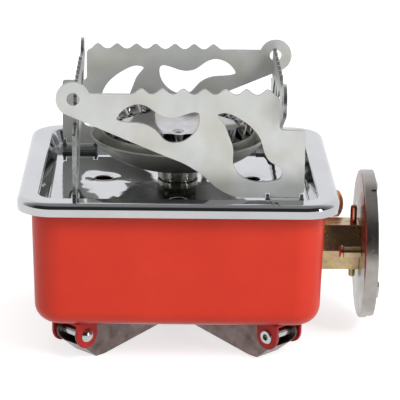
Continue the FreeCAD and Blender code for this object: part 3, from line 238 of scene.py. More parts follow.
# Bright chrome on pressed steel: a clear mirror with faint smears and the press's slow waves.
CHROME = Finish("bright_chrome_plate", "#cfd0d2", "#c3c4c7", 1.0, 0.05, spread=0.03, patch_mm=22.0,
                grain=Grain.PEEL, grain_mm=20.0, relief_mm=0.05)
# Satin chrome on the turned coupling: greyer, with fine turning lines about the valve's axis.
SATIN_CHROME = Finish("satin_chrome_on_turned_steel", "#b9b4ae", "#a19c96", 1.0, 0.30, patch_mm=7.0,
                      grain=Grain.BRUSHED, grain_mm=1.2, relief_mm=0.012, along=(1.0, 0.25, 0.25))
# Galvanised sheet, stamped: pale grey, satin, with cloudy spangle and a rare straw stain.
GALVANISED = Finish("galvanised_stamped_sheet", "#e8eae8", "#dbddda", 0.62, 0.34, patch_mm=9.0,
                    grain_mm=0.9, relief_mm=0.006, contrast=0.8, tint="#cdbf9d", tint_share=0.22)
# Dull zinc on the brackets welded to the tray, dark grey: partly the zinc's own colour, partly painted
# shade of the slot where the brackets sit.
BRACKET_ZINC_AND_PAINTED_SHADE = Finish("dull_zinc_with_painted_slot_shade", "#7d8080", "#646767", 0.85, 0.38, patch_mm=4.0,
                      relief_mm=0.006)
# Sheared edges of the galvanised sheet: darker and smoother, where the punch burnished the steel.
SHEARED_EDGE = Finish("sheared_steel_edge", "#a9adaa", "#8b8f8c", 0.9, 0.28, patch_mm=3.0, grain_mm=0.4)
# Satin stainless sheet of the wind bowl, spun on a lathe: fine rings about the burner's axis.
SPUN_STAINLESS = Finish("satin_spun_stainless", "#b6b7af", "#9b9d95", 0.8, 0.42, patch_mm=14.0,
                        grain=Grain.SPUN, relief_mm=0.006, along=(1.0, 1.0, 0.0))
# Polished stainless of the flame crown: mirror flutes with a warm heat tint in places.
CROWN_STEEL = Finish("polished_stainless_with_heat_tint", "#c9cbce", "#aeb0b2", 1.0, 0.08, spread=0.04,
                     patch_mm=9.0, grain_mm=8.0, relief_mm=0.05, tint="#b59a7c", tint_share=0.35)
# Yellow-passivated zinc on bar steel: straw with olive and rose clouds and tool marks along it.
YELLOW_ZINC = Finish("yellow_passivated_zinc", "#cdb68c", "#a8955f", 1.0, 0.26, spread=0.08,
                     patch_mm=4.0, grain=Grain.BRUSHED, grain_mm=0.7, relief_mm=0.02,
                     along=(0.12, 1.0, 1.0), contrast=1.3, tint="#c79c93", tint_share=0.55)
# Bright zinc on small turned parts.
BRIGHT_ZINC = Finish("bright_zinc_on_steel", "#cfcfce", "#b3b3b1", 1.0, 0.18, patch_mm=3.0, relief_mm=0.004)
# Nickel on the turned burner column: soft grey with turning rings.
NICKEL = Finish("dull_nickel_on_turned_steel", "#b9b7ae", "#a09e95", 1.0, 0.22, patch_mm=6.0,
                grain=Grain.BRUSHED, relief_mm=0.008, along=(0.3, 0.3, 1.0))
# Cold-rolled leg steel under thin clear lacquer: warm grey, rolled streaks.
LEG_STEEL = Finish("lacquered_rolled_steel", "#857672", "#5f5250", 0.92, 0.34, spread=0.08,
                   grain=Grain.BRUSHED, grain_mm=0.8, relief_mm=0.015, along=(0.3, 0.3, 1.0),
                   contrast=1.2)
BRASS = Finish("turned_brass", "#c9a558", "#b08d44", 1.0, 0.24, grain_mm=0.6, relief_mm=0.005)
# Moulded black phenolic, satin with a fine grain.
BLACK_PLASTIC = Finish("moulded_black_phenolic", "#1d1d1e", "#151516", 0.0, 0.42, spread=0.05,
                       patch_mm=8.0, grain=Grain.PEEL)
# Moulded orange ABS, glossy.
ORANGE_PLASTIC = Finish("moulded_orange_abs", "#ffab2e", "#fb8f1c", 0.0, 0.24, spread=0.03, patch_mm=6.0,
                        grain=Grain.PEEL, grain_mm=0.8, relief_mm=0.004)
# Nitrile rubber of the seal.
RUBBER = Finish("nitrile_rubber", "#222222", "#1a1a1a", 0.0, 0.7, patch_mm=3.0, grain_mm=0.4)
# Glazed alumina of the electrode.
CERAMIC = Finish("glazed_alumina", "#e9e4d6", "#ddd7c6", 0.0, 0.22, spread=0.04, patch_mm=4.0,
                 grain_mm=0.8, relief_mm=0.004)
# Silicone sleeve of the spark lead.
SILICONE = Finish("silicone_sleeve", "#e4e3de", "#d8d7d0", 0.0, 0.5, spread=0.05, grain_mm=0.8)


def adopt(mesh: Mesh, name: str, finish: Finish) -> Object:
    """Put a mesh in the scene under a name and with a finish.

    Args:
        mesh: the mesh, in the part's frame.
        name: the object's name.
        finish: its finish.

    Returns:
        The new object, at the origin.
    """
    mesh.name = name
    mesh.materials.clear()
    mesh.materials.append(finish.material())
    piece = bpy.data.objects.new(name, mesh)
    bpy.context.scene.collection.objects.link(piece)
    return piece


def settled(work: BMesh, name: str) -> Mesh:
    """Turn a working mesh into a plain one and free it.

    Args:
        work: the working mesh.
        name: the plain mesh's name.

    Returns:
        The plain mesh.
    """
    mesh = bpy.data.meshes.new(name)
    work.to_mesh(mesh)
    work.free()
    return mesh


def bake(piece: Object) -> Object:
    """Turn a piece's modifiers into its plain mesh.

    Args:
        piece: the object with live modifiers.

    Returns:
        The same object, without modifiers.
    """
    bpy.context.view_layer.update()
    evaluated = piece.evaluated_get(bpy.context.evaluated_depsgraph_get())
    mesh = bpy.data.meshes.new_from_object(evaluated)
    piece.modifiers.clear()
    old = piece.data
    piece.data = mesh
    mesh.name = piece.name
    bpy.data.meshes.remove(old)
    return piece


def smooth(mesh: Mesh, degrees: float) -> None:
    """Shade a mesh smooth, with its edges over an angle sharp.

    Args:
        mesh: the mesh.
        degrees: the turn over which an edge stays sharp.
    """
    for face in mesh.polygons:
        face.use_smooth = True
    mesh.set_sharp_from_angle(angle=math.radians(degrees))


def one_of(work: BMesh, towards: Triple) -> None:
    """Keep only one of a mesh's separate pieces: the one furthest in a direction.

    Args:
        work: the mesh of all the pieces.
        towards: the direction.
    """
    way, left, pieces = Vector(towards), set(work.verts), []
    while left:
        group, open_ends = set(), [left.pop()]
        while open_ends:
            vert = open_ends.pop()
            group.add(vert)
            for edge in vert.link_edges:
                other = edge.other_vert(vert)
                if other in left:
                    left.remove(other)
                    open_ends.append(other)
        pieces.append(group)
    kept = max(pieces, key=lambda group: sum(vert.co.dot(way) for vert in group) / len(group))
    bmesh.ops.delete(work, geom=[vert for vert in work.verts if vert not in kept], context="VERTS")


def broken_edges(node: str, finish: Finish, edge_mm: float, segments: int = 2, degrees: float = 34.0,
                 towards: Triple | None = None) -> Object:
    """A copy of a CAD node with its sharp edges broken, as tumbling or deburring leaves them.

    Args:
        node: the CAD node that the piece stands for.
        finish: its finish.
        edge_mm: the width of the broken edge.
        segments: the steps across it.
        degrees: the turn over which an edge counts as sharp.
        towards: where the node's one piece lies that is to be repeated, if it is.

    Returns:
        The finished piece.
    """
    work = bmesh.new()
    work.from_mesh(frame["nodes"][node].data)
    bmesh.ops.remove_doubles(work, verts=work.verts, dist=WELD_MM * MM)
    if towards:
        one_of(work, towards)
    bmesh.ops.dissolve_limit(work, angle_limit=math.radians(FLAT_DEGREES), verts=work.verts,
                             edges=work.edges)
    name = f"{node}_finished"
    piece = adopt(settled(work, name), name, finish)
    smooth(piece.data, degrees)
    bevel = piece.modifiers.new("broken_edge", "BEVEL")
    bevel.width = edge_mm * MM
    bevel.segments = segments
    bevel.limit_method = "ANGLE"
    bevel.angle_limit = math.radians(degrees)
    bevel.harden_normals = True
    bevel.use_clamp_overlap = True
    return bake(piece)


def softened(node: str, finish: Finish, edge_mm: float) -> Object:
    """The finished copy of a CAD node, with its edges broken, on the node's body.

    Args:
        node: the CAD node.
        finish: its finish.
        edge_mm: the width of the broken edge.

    Returns:
        The finished piece.
    """
    return stand_for(broken_edges(node, finish, edge_mm), node)


def show_edges(piece: Object, across: Triple, finish: Finish, facing: float = 0.6) -> None:
    """Give a sheet's sheared edges a finish of their own.

    Args:
        piece: the finished sheet.
        across: the direction through the sheet.
        finish: the finish of its edges.
        facing: how far an edge's normal may lean towards that direction, as a cosine.
    """
    piece.data.materials.append(finish.material())
    way = Vector(across)
    for face in piece.data.polygons:
        if abs(face.normal.dot(way)) < facing:
            face.material_index = 1


def stand_for(piece: Object, node: str) -> Object:
    """Let a piece stand for a CAD node: hide the node and let the piece ride on its body.

    Args:
        piece: the piece.
        node: the CAD node.

    Returns:
        The same piece.
    """
    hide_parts(node)
    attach(piece, BODY_OF[node])
    LOG.info("built %s", piece.name)
    return piece


def dress(node: str, finish: Finish) -> None:
    """Give a CAD node that stays its finish.

    Args:
        node: the CAD node.
        finish: its finish.
    """
    source = frame["nodes"][node]
    source.data.materials.clear()
    source.data.materials.append(finish.material())
    LOG.info("dressed %s", node)


BODY_OF = {
    node: body for body, members in frame["record"]["behaviour"]["bodies"].items() for node in members
}


def arc(centre: Pair, radius: float, first: float, last: float, steps: int) -> list[Pair]:
    """Points along an arc.

    Args:
        centre: the arc's centre.
        radius: its radius.
        first: the angle where it starts, in degrees.
        last: the angle where it ends, in degrees.
        steps: the steps along it.

    Returns:
        The points.
    """
    points = []
    for step in range(steps + 1):
        angle = math.radians(first + (last - first) * step / steps)
        points.append((centre[0] + radius * math.cos(angle), centre[1] + radius * math.sin(angle)))
    return points


def rounded_ring(half_x: float, half_y: float, radius: float, level: float, corner_steps: int = 14,
                 side_steps: int = 10) -> Ring:
    """Points round a rounded rectangle, counter-clockwise seen from above.

    Args:
        half_x: half its width.
        half_y: half its depth.
        radius: its corners' radius.
        level: its height.
        corner_steps: steps round a corner.
        side_steps: steps along a side.

    Returns:
        The points.
    """
    corners = ((1, -1), (1, 1), (-1, 1), (-1, -1))
    arcs = [
        arc((sign_x * (half_x - radius), sign_y * (half_y - radius)), radius, 90 * quarter - 90,
            90 * quarter, corner_steps)
        for quarter, (sign_x, sign_y) in enumerate(corners)
    ]
    points = []
    for this, after in zip(arcs, arcs[1:] + arcs[:1]):
        points += [(*point, level) for point in this]
        (last_x, last_y), (goal_x, goal_y) = this[-1], after[0]
        for step in range(1, side_steps):
            share = step / side_steps
            points.append((last_x + (goal_x - last_x) * share, last_y + (goal_y - last_y) * share, level))
    return points


def circle_ring(radius: float, level: float, count: int = 96, centre: Pair = (0.0, 0.0)) -> Ring:
    """Points round a level circle.

    Args:
        radius: the circle's radius.
        level: its height.
        count: the number of points.
        centre: its centre, across and along.

    Returns:
        The points.
    """
    return [
        (centre[0] + radius * math.cos(2 * math.pi * step / count),
         centre[1] + radius * math.sin(2 * math.pi * step / count), level)
        for step in range(count)
    ]


def join_rings(work: BMesh, rings: list[Loop]) -> None:
    """Join closed rings of equal count by walls, each to the next.

    Args:
        work: the mesh that holds the rings.
        rings: the rings in their order.
    """
    for low, high in zip(rings, rings[1:]):
        for step in range(len(low)):
            after = (step + 1) % len(low)
            work.faces.new((low[step], low[after], high[after], high[step]))


@dataclass(frozen=True)
class Port:
    """A round port through an upright wall, in millimetres: along X or along Y.

    across and up place its centre on the wall, and wall is the wall's distance from the middle.
    """

    along_x: bool
    across: float
    up: float
    radius: float
    wall: float
    depth: float = 8.0
    segments: int = 64

    def drill(self) -> Object:
        """Build the cylinder that bores the port.

        Returns:
            The cylinder, an object that is removed afterwards.
        """
        work = bmesh.new()
        bmesh.ops.create_cone(work, cap_ends=True, segments=self.segments, radius1=self.radius * MM,
                              radius2=self.radius * MM, depth=self.depth * MM)
        axis, place = "X", (self.across, self.wall, self.up)
        if self.along_x:
            axis, place = "Y", (self.wall, self.across, self.up)
        turn = Matrix.Rotation(math.pi / 2, 4, axis)
        work.transform(Matrix.Translation(Vector(place) * MM) @ turn)
        drill = bpy.data.objects.new("drill", settled(work, "drill"))
        bpy.context.scene.collection.objects.link(drill)
        return drill


class SheetMesh:
    """A sheet built from closed rings: walls between rings, and flat floors with holes."""

    def __init__(self) -> None:
        """Start with no points."""
        self.work = bmesh.new()

    def ring(self, points: Ring) -> Loop:
        """Add a ring's points, given in millimetres."""
        return [self.work.verts.new(Vector(point) * MM) for point in points]

    def wall(self, rings: list[Loop]) -> None:
        """Join rings of equal count by walls, each to the next."""
        join_rings(self.work, rings)

    def floor(self, outer: Loop, holes: list[Loop]) -> None:
        """Fill the level area inside a ring and outside of the holes.

        Args:
            outer: the ring round the area.
            holes: the rings of the holes.
        """
        edges = []
        for loop in [outer, *holes]:
            for step, vert in enumerate(loop):
                after = loop[(step + 1) % len(loop)]
                edges.append(self.work.edges.get((vert, after)) or self.work.edges.new((vert, after)))
        bmesh.ops.triangle_fill(self.work, use_beauty=True, use_dissolve=False, edges=edges)

    def finish(self, name: str, finish: Finish, thickness_mm: float, degrees: float = 40.0,
               ports: tuple[Port, ...] = ()) -> Object:
        """Give the sheet its thickness and turn it into a piece.

        Args:
            name: the piece's name.
            finish: its finish.
            thickness_mm: the sheet's thickness.
            degrees: the turn over which an edge stays sharp.
            ports: round ports that are bored through it.

        Returns:
            The piece, at the origin.
        """
        bmesh.ops.recalc_face_normals(self.work, faces=self.work.faces)
        piece = adopt(settled(self.work, name), name, finish)
        smooth(piece.data, degrees)
        wall = piece.modifiers.new("thickness", "SOLIDIFY")
        wall.thickness = thickness_mm * MM
        wall.offset = -1.0
        wall.use_even_offset = True
        drills = [port.drill() for port in ports]
        for drill in drills:
            bore = piece.modifiers.new("port", "BOOLEAN")
            bore.operation = "DIFFERENCE"
            bore.solver = "EXACT"
            bore.object = drill
        normals = piece.modifiers.new("flat_stays_flat", "WEIGHTED_NORMAL")
        normals.keep_sharp = True
        bake(piece)
        for drill in drills:
            bpy.data.objects.remove(drill)
        return piece


class RepeatRound:
    """Geometry Nodes that repeat a mesh round an axis and put the copies in one piece."""

    tree: NodeTree | None = None
    weld_mm: float = 0.01

    @classmethod
    def nodes(cls) -> NodeTree:
        """The tree, made once: its inputs are the mesh, the count, the axis, its place and the material.

        Returns:
            The node group.
        """
        if cls.tree:
            return cls.tree
        tree = bpy.data.node_groups.new("repeat_round", "GeometryNodeTree")
        add = partial(add_node, tree)
        for name, kind in (("Geometry", "Geometry"), ("Count", "Int"), ("Axis", "Vector"),
                           ("Centre", "Vector"), ("Material", "Material")):
            tree.interface.new_socket(name, in_out="INPUT", socket_type=f"NodeSocket{kind}")
        tree.interface.new_socket("Geometry", in_out="OUTPUT", socket_type="NodeSocketGeometry")
        given = add("NodeGroupInput")
        back = add("ShaderNodeVectorMath", {"operation": "SCALE", "Scale": -1.0},
                   {0: given.outputs["Centre"]})
        centred = add("GeometryNodeTransform",
                      links={"Geometry": given.outputs["Geometry"], "Translation": back})
        points = add("GeometryNodePoints",
                     links={"Count": given.outputs["Count"], "Position": given.outputs["Centre"]})
        index = add("GeometryNodeInputIndex")
        share = add("ShaderNodeMath", {"operation": "DIVIDE"}, {0: index, 1: given.outputs["Count"]})
        turn = add("ShaderNodeMath", {"operation": "MULTIPLY", 1: 2 * math.pi}, {0: share})
        rotation = add("FunctionNodeAxisAngleToRotation",
                       links={"Axis": given.outputs["Axis"], "Angle": turn})
        copies = add("GeometryNodeInstanceOnPoints",
                     links={"Points": points, "Instance": centred, "Rotation": rotation})
        real = add("GeometryNodeRealizeInstances", links={0: copies})
        joined = add("GeometryNodeMergeByDistance", {"Distance": cls.weld_mm * MM}, {"Geometry": real})
        dressed = add("GeometryNodeSetMaterial",
                      links={"Geometry": joined, "Material": given.outputs["Material"]})
        add("NodeGroupOutput", links={0: dressed})
        cls.tree = tree
        return tree

    @classmethod
    def apply(cls, piece: Object, count: int, axis: Triple = (0.0, 0.0, 1.0),
              centre: Triple = (0.0, 0.0, 0.0)) -> Object:
        """Repeat a piece's mesh and bake the result.

        Args:
            piece: the object that holds one copy.
            count: the number of copies.
            axis: the direction of the axis.
            centre: a point on the axis, in metres.

        Returns:
            The same object with the whole ring as its mesh.
        """
        modifier = piece.modifiers.new("repeat_round", "NODES")
        modifier.node_group = cls.nodes()
        inputs = {
            item.name: item.identifier for item in cls.nodes().interface.items_tree
            if item.in_out == "INPUT"
        }
        for name, setting in (("Count", count), ("Axis", axis), ("Centre", centre),
                              ("Material", piece.data.materials[0])):
            modifier[inputs[name]] = setting
        return bake(piece)


def turned_piece(name: str, profile: list[Pair], finish: Finish,
                 segments: int = 96, degrees: float = 38.0) -> Object:
    """A closed lathe piece about the Z axis.

    Args:
        name: the piece's name.
        profile: closed section as radius and height in millimetres.
        finish: its finish.
        segments: steps round the axis.
        degrees: the turn over which an edge stays sharp.

    Returns:
        The piece, at the origin.
    """
    work = bmesh.new()
    rings = [
        [work.verts.new(Vector(point) * MM) for point in circle_ring(radius, level, segments)]
        for radius, level in profile
    ]
    join_rings(work, rings + rings[:1])
    bmesh.ops.recalc_face_normals(work, faces=work.faces)
    mesh = settled(work, name)
    smooth(mesh, degrees)
    return adopt(mesh, name, finish)


@dataclass
class Tray:
    """The chromed tray: skirt, rolled rim, sloped well and a floor with air holes.

    Lengths are in millimetres and angles in degrees. emboss holds the dimple's rings round an air
    hole, each as its radius and its level on the floor.
    """

    skirt: float = 4.6
    rim_band: float = 7.5
    rim_roll: float = 2.2
    rim_lip: float = 1.0
    root: float = 1.4
    recess: float = 5.3
    corner: float = 12.5
    well_corner: float = 6.0
    least_corner: float = 1.2
    slope: float = 25.0
    sheet: float = 0.6
    air_place: float = 26.6
    air_radius: float = 3.1
    spark_place: float = 29.2
    spark_turn: float = 70.0
    spark_radius: float = 1.5
    step_inner: float = 16.5
    step_outer: float = 34.0
    step_height: float = 0.3
    step_run: float = 0.7
    column_radius: float = 6.1
    hole_steps: int = 28
    emboss: tuple[Pair, ...] = ((6.4, 0.0), (5.4, -0.12), (4.4, -0.36), (3.7, -0.44))

    def build(self) -> None:
        """Build the tray in place of its CAD node."""
        _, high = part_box("top_tray")
        half_x, half_y, top = high[0] / MM, high[1] / MM, high[2] / MM
        sheet = SheetMesh()
        section = [(0.0, top - self.skirt, self.corner), (0.0, top - self.rim_roll, self.corner)]
        for across, up in arc((-self.rim_roll, top - self.rim_roll), self.rim_roll, 0, 90, 8)[1:]:
            section.append((across, up, self.corner + across))
        tilt = math.radians(self.slope)
        half_turn = math.tan((math.pi / 2 - tilt) / 2)
        lip_x = -self.rim_band + self.rim_lip * half_turn
        lip = arc((lip_x, top - self.rim_lip), self.rim_lip, 90, 180 - self.slope, 6)
        run = self.recess * math.tan(tilt)
        root_x = -self.rim_band - run - self.root * half_turn
        root = arc((root_x, top - self.recess + self.root), self.root, -self.slope, -90, 6)
        section += [(across, up, self.well_corner + across + self.rim_band) for across, up in lip + root]
        rings = [
            sheet.ring(rounded_ring(half_x + across, half_y + across, max(radius, self.least_corner), up))
            for across, up, radius in section
        ]
        sheet.wall(rings)
        floor = top - self.recess
        ridge = self.step_height
        steps = [(self.step_outer, floor), (self.step_outer - self.step_run, floor - ridge),
                 (self.step_inner + self.step_run, floor - ridge), (self.step_inner, floor)]
        circles = [sheet.ring(circle_ring(radius, up)) for radius, up in steps]
        sheet.floor(rings[-1], [circles[0]])
        sheet.wall(circles[:2])
        sheet.wall(circles[2:])
        holes = [self._embossed_hole(sheet, 90.0 * number, floor - ridge) for number in range(4)]
        holes.append(self._hole(sheet, self.spark_turn, self.spark_place, self.spark_radius, floor - ridge))
        sheet.floor(circles[1], [circles[2], *holes])
        sheet.floor(circles[3], [sheet.ring(circle_ring(self.column_radius, floor))])
        stand_for(sheet.finish("tray_pressing", CHROME, self.sheet), "top_tray")

    def _embossed_hole(self, sheet: SheetMesh, turn: float, level: float) -> Loop:
        """Add an air hole in its pressed dimple.

        Args:
            sheet: the tray's sheet.
            turn: the hole's place round the burner, in degrees.
            level: the height of the floor round the dimple.

        Returns:
            The dimple's outer ring.
        """
        steps = [*self.emboss, (self.air_radius, self.emboss[-1][1])]
        rings = [self._hole(sheet, turn, self.air_place, radius, level + drop) for radius, drop in steps]
        sheet.wall(rings)
        return rings[0]

    def _hole(self, sheet: SheetMesh, turn: float, place: float, radius: float, level: float) -> Loop:
        """Add the ring of a hole in the floor.

        Args:
            sheet: the tray's sheet.
            turn: the hole's place round the burner, in degrees.
            place: its centre's distance from the burner's axis.
            radius: its radius.
            level: its height.

        Returns:
            The ring.
        """
        angle = math.radians(turn)
        centre = (place * math.cos(angle), place * math.sin(angle))
        return sheet.ring(circle_ring(radius, level, self.hole_steps, centre))


@dataclass
class Box:
    """The enamelled box under the tray, in millimetres, with a draft in degrees."""

    corner: float = 11.0
    draft: float = 1.5
    base_round: float = 6.5
    wall: float = 0.8
    wall_steps: int = 8
    vent_place: float = 13.0
    vent_radius: float = 3.0
    vent_steps: int = 32
    vents: int = 6
    ports: tuple[Port, ...] = (
        Port(True, 0.0, VALVE_UP, 6.02, 50.0), Port(True, 16.0, 41.4, 6.02, 50.0),
        Port(False, 30.0, VALVE_UP, 4.0, 48.5),
    )

    def build(self) -> None:
        """Build the tub in place of its CAD node."""
        low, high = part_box("body_shell")
        half_x, half_y = high[0] / MM, high[1] / MM
        top, base = high[2] / MM, low[2] / MM
        fall = math.tan(math.radians(self.draft))
        sheet = SheetMesh()
        section = []
        for step in range(self.wall_steps + 1):
            depth = (top - base - self.base_round) * step / self.wall_steps
            section.append((-depth * fall, top - depth))
        inset = section[-1][0] - self.base_round
        section += arc((inset, base + self.base_round), self.base_round, 0, -90, 12)[1:]
        rings = [
            sheet.ring(rounded_ring(half_x + across, half_y + across, self.corner + across, up))
            for across, up in section
        ]
        sheet.wall(rings)
        holes = []
        for number in range(self.vents):
            angle = 2 * math.pi * number / self.vents
            centre = (self.vent_place * math.cos(angle), self.vent_place * math.sin(angle))
            holes.append(sheet.ring(circle_ring(self.vent_radius, base, self.vent_steps, centre)))
        sheet.floor(rings[-1], holes)
        stand_for(sheet.finish("box_drawing", ENAMEL, self.wall, ports=self.ports), "body_shell")


@dataclass
class Burner:
    """The burner head, in millimetres: column, wind bowl, cup, spreader and the fluted crown.

    square says how sharply a fold turns into the next, dish_power how the dish steepens outwards, and
    fold_drop how far an outer fold's foot reaches down the dish's rise. undercut holds the column's
    foot as depths under its face and heights over the tray.
    """

    flutes: int = 24
    crown_low: float = 72.0
    crown_high: float = 78.3
    hub: float = 1.3
    dish: float = 22.4
    dish_rise: float = 2.4
    dish_power: float = 2.2
    square: float = 2.2
    rings: int = 12
    rows: int = 5
    foot: float = 26.4
    inner_foot: float = 0.5
    fold_drop: float = 0.6
    mouth: float = 27.3
    fold: float = 1.1
    sheet: float = 0.5
    steps: int = 12
    tray_floor: float = 55.7
    thread: float = 6.0
    gas_way: float = 4.2
    chamfer: float = 0.25
    undercut: tuple[Pair, ...] = ((0.7, 0.0), (0.7, 0.2), (0.2, 0.35), (0.0, 0.6))

    def build(self) -> None:
        """Build the crown and the column in place of their CAD nodes and finish the rest."""
        self._crown()
        self._column()
        softened("burner_bowl", SPUN_STAINLESS, 0.1)
        softened("burner_cup", SPUN_STAINLESS, 0.1)
        softened("crown_screw", BRIGHT_ZINC, 0.05)
        softened("column_nut", BRIGHT_ZINC, 0.2)
        dress("gas_spreader", SPUN_STAINLESS)

    def _column(self) -> None:
        """The turned column: a plain collar, undercut where it stands on the tray."""
        low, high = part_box("burner_column")
        top, tail = high[2] / MM, low[2] / MM
        half, foot = high[0] / MM, self.tray_floor
        profile = [
            (self.gas_way, tail), (self.thread, tail), (self.thread, foot),
            *((half - depth, foot + up) for depth, up in self.undercut),
            (half, top - self.chamfer), (half - self.chamfer, top), (self.gas_way, top),
        ]
        stand_for(turned_piece("turned_column", profile, NICKEL, degrees=25.0), "burner_column")

    def _section(self, angle: float) -> list[Pair]:
        """The crown's outer face from its middle to its top edge, as radius and height.

        Args:
            angle: where the section is taken, in radians from the middle of an outer fold.

        Returns:
            The points in millimetres.
        """
        wave = math.cos(self.flutes * angle)
        swing = (1 + math.tanh(self.square * wave) / math.tanh(self.square)) / 2
        low, high = self.crown_low, self.crown_high
        points = []
        for step in range(self.rings + 1):
            share = step / self.rings
            radius = self.hub + (self.dish - self.hub) * share
            points.append((radius, low + self.dish_rise * share ** self.dish_power))
        foot = self.dish + self.inner_foot + (self.foot - self.dish - self.inner_foot) * swing
        foot_level = low + self.dish_rise - self.dish_rise * self.fold_drop * swing
        top = self.mouth - self.fold + self.fold * swing
        for step in range(self.rows + 1):
            share = step / self.rows
            points.append((foot + (top - foot) * share, foot_level + (high - foot_level) * share))
        return points

    def _crown(self) -> None:
        """One flute with its sector of the dish, outside and inside, repeated round the axis."""
        work = bmesh.new()
        turn = 2 * math.pi / self.flutes
        sheets = []
        for inset in (0.0, self.sheet):
            lines = []
            for step in range(self.steps + 1):
                angle = -turn / 2 + turn * step / self.steps
                line = []
                for place, (radius, level) in enumerate(self._section(angle)):
                    upright = place > self.rings
                    radius -= inset if upright else 0.0
                    level += inset if not upright or place == self.rings + 1 else 0.0
                    line.append(work.verts.new(Vector((
                        radius * math.cos(angle), radius * math.sin(angle), level)) * MM))
                lines.append(line)
            sheets.append(lines)
        for lines in sheets:
            for left, right in zip(lines, lines[1:]):
                for place in range(len(left) - 1):
                    work.faces.new((left[place], right[place], right[place + 1], left[place + 1]))
        outer, inner = sheets
        for end in (0, -1):
            for step in range(self.steps):
                work.faces.new((outer[step][end], outer[step + 1][end], inner[step + 1][end],
                                inner[step][end]))
        name = "flame_crown_pressing"
        piece = RepeatRound.apply(adopt(settled(work, name), name, CROWN_STEEL), self.flutes)
        work = bmesh.new()
        work.from_mesh(piece.data)
        bmesh.ops.recalc_face_normals(work, faces=work.faces)
        work.to_mesh(piece.data)
        work.free()
        smooth(piece.data, 36)
        stand_for(piece, "flame_crown")


@dataclass
class PotSupports:
    """The four stamped plates, with edges broken by so many millimetres, their brackets and pins."""

    sides: tuple[str, ...] = ("front", "right", "back", "left")
    edge: float = 0.18

    def build(self) -> None:
        """Finish the plates, brackets and pins."""
        for side in self.sides:
            plate = softened(f"pot_support_{side}", GALVANISED, self.edge)
            across = (0.0, 1.0, 0.0) if side in ("front", "back") else (1.0, 0.0, 0.0)
            show_edges(plate, across, SHEARED_EDGE)
            # The hinge brackets' dark grey partly paints the shade of the slot they sit in.
            softened(f"hinge_bracket_{side}", BRACKET_ZINC_AND_PAINTED_SHADE, 0.1)
        pin = broken_edges("support_hinge_pins", BRIGHT_ZINC, 0.1, towards=(0.0, -1.0, 0.0))
        stand_for(RepeatRound.apply(pin, len(self.sides)), "support_hinge_pins")


@dataclass
class Legs:
    """The folding legs with their brackets and rivets."""

    corners: tuple[str, ...] = ("front_left", "front_right", "back_right", "back_left")

    def build(self) -> None:
        """Finish the legs, brackets and rivets."""
        for corner in self.corners:
            softened(f"leg_{corner}", LEG_STEEL, 0.15)
            softened(f"leg_bracket_{corner}", BRACKET_ENAMEL, 0.2)
        rivet = broken_edges("leg_rivets", BRIGHT_ZINC, 0.08, towards=(-1.0, -1.0, 0.0))
        stand_for(RepeatRound.apply(rivet, len(self.corners)), "leg_rivets")


@dataclass
class Valve:
    """The valve's bar, its pins, the coupling disc and what stands on it, in millimetres.

    A segment of the rim holds its arc's two ends in degrees and how far it lies under the rim's face.
    """

    bar: tuple[str, ...] = ("valve_body", "valve_lock_nut", "stop_pin", "bleed_screw", "lock_plunger")
    disc: tuple[str, ...] = ("coupling_disc", "collar_ring")
    height: float = VALVE_UP
    claws: int = 3
    rim_wall: float = 1.6
    rim_chamfer: float = 0.2
    rim_set_back: float = 0.02
    rim_play: float = 0.05
    arc_step: float = 2.0
    least_steps: int = 4
    notch: float = 2.5
    full_segment: Triple = (10.2, 34.0, 0.03)
    low_segment: Triple = (34.0, 62.8, 0.55)

    def build(self) -> None:
        """Finish the valve and the coupling."""
        for node in self.bar:
            softened(node, YELLOW_ZINC, 0.2)
        for node in self.disc:
            softened(node, SATIN_CHROME, 0.25)
        self._rim_segment("rim_segments", *self.full_segment)
        self._rim_segment("rim_recesses", *self.low_segment)
        claw = broken_edges("canister_claws", BRIGHT_ZINC, 0.1, towards=(0.0, 0.0, 1.0))
        RepeatRound.apply(claw, self.claws, (1.0, 0.0, 0.0), (0.0, 0.0, self.height * MM))
        stand_for(claw, "canister_claws")
        softened("nozzle_seat", BRASS, 0.12)
        softened("nozzle_seal", RUBBER, 0.12)

    def _rim_segment(self, name: str, first: float, last: float, inset: float) -> None:
        """Add the rolled lip in the rim's three notches, over an arc given in degrees.

        Args:
            name: the piece's name.
            first: the arc's lower end, up from the level on the near side.
            last: the arc's upper end.
            inset: how far it lies under the rim's outer face, in millimetres.
        """
        low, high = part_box("coupling_disc")
        outer = (high[1] - low[1]) / 2 / MM - inset
        end = high[0] / MM - self.rim_set_back
        inner = outer - self.rim_wall + inset + self.rim_play
        section = [(end - self.notch, outer), (end - self.rim_chamfer, outer),
                   (end, outer - self.rim_chamfer), (end, inner), (end - self.notch, inner)]
        work = bmesh.new()
        steps = max(self.least_steps, round((last - first) / self.arc_step))
        rings = []
        for step in range(steps + 1):
            angle = math.radians(first + (last - first) * step / steps)
            rings.append([work.verts.new(Vector((
                along, -radius * math.cos(angle), self.height + radius * math.sin(angle))) * MM)
                for along, radius in section])
        join_rings(work, rings)
        work.faces.new(rings[0])
        work.faces.new(rings[-1])
        bmesh.ops.recalc_face_normals(work, faces=work.faces)
        mesh = settled(work, name)
        smooth(mesh, 30)
        piece = adopt(mesh, name, SATIN_CHROME)
        RepeatRound.apply(piece, self.claws, (1.0, 0.0, 0.0), (0.0, 0.0, self.height * MM))
        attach(piece, BODY_OF["coupling_disc"])
        LOG.info("built %s", name)


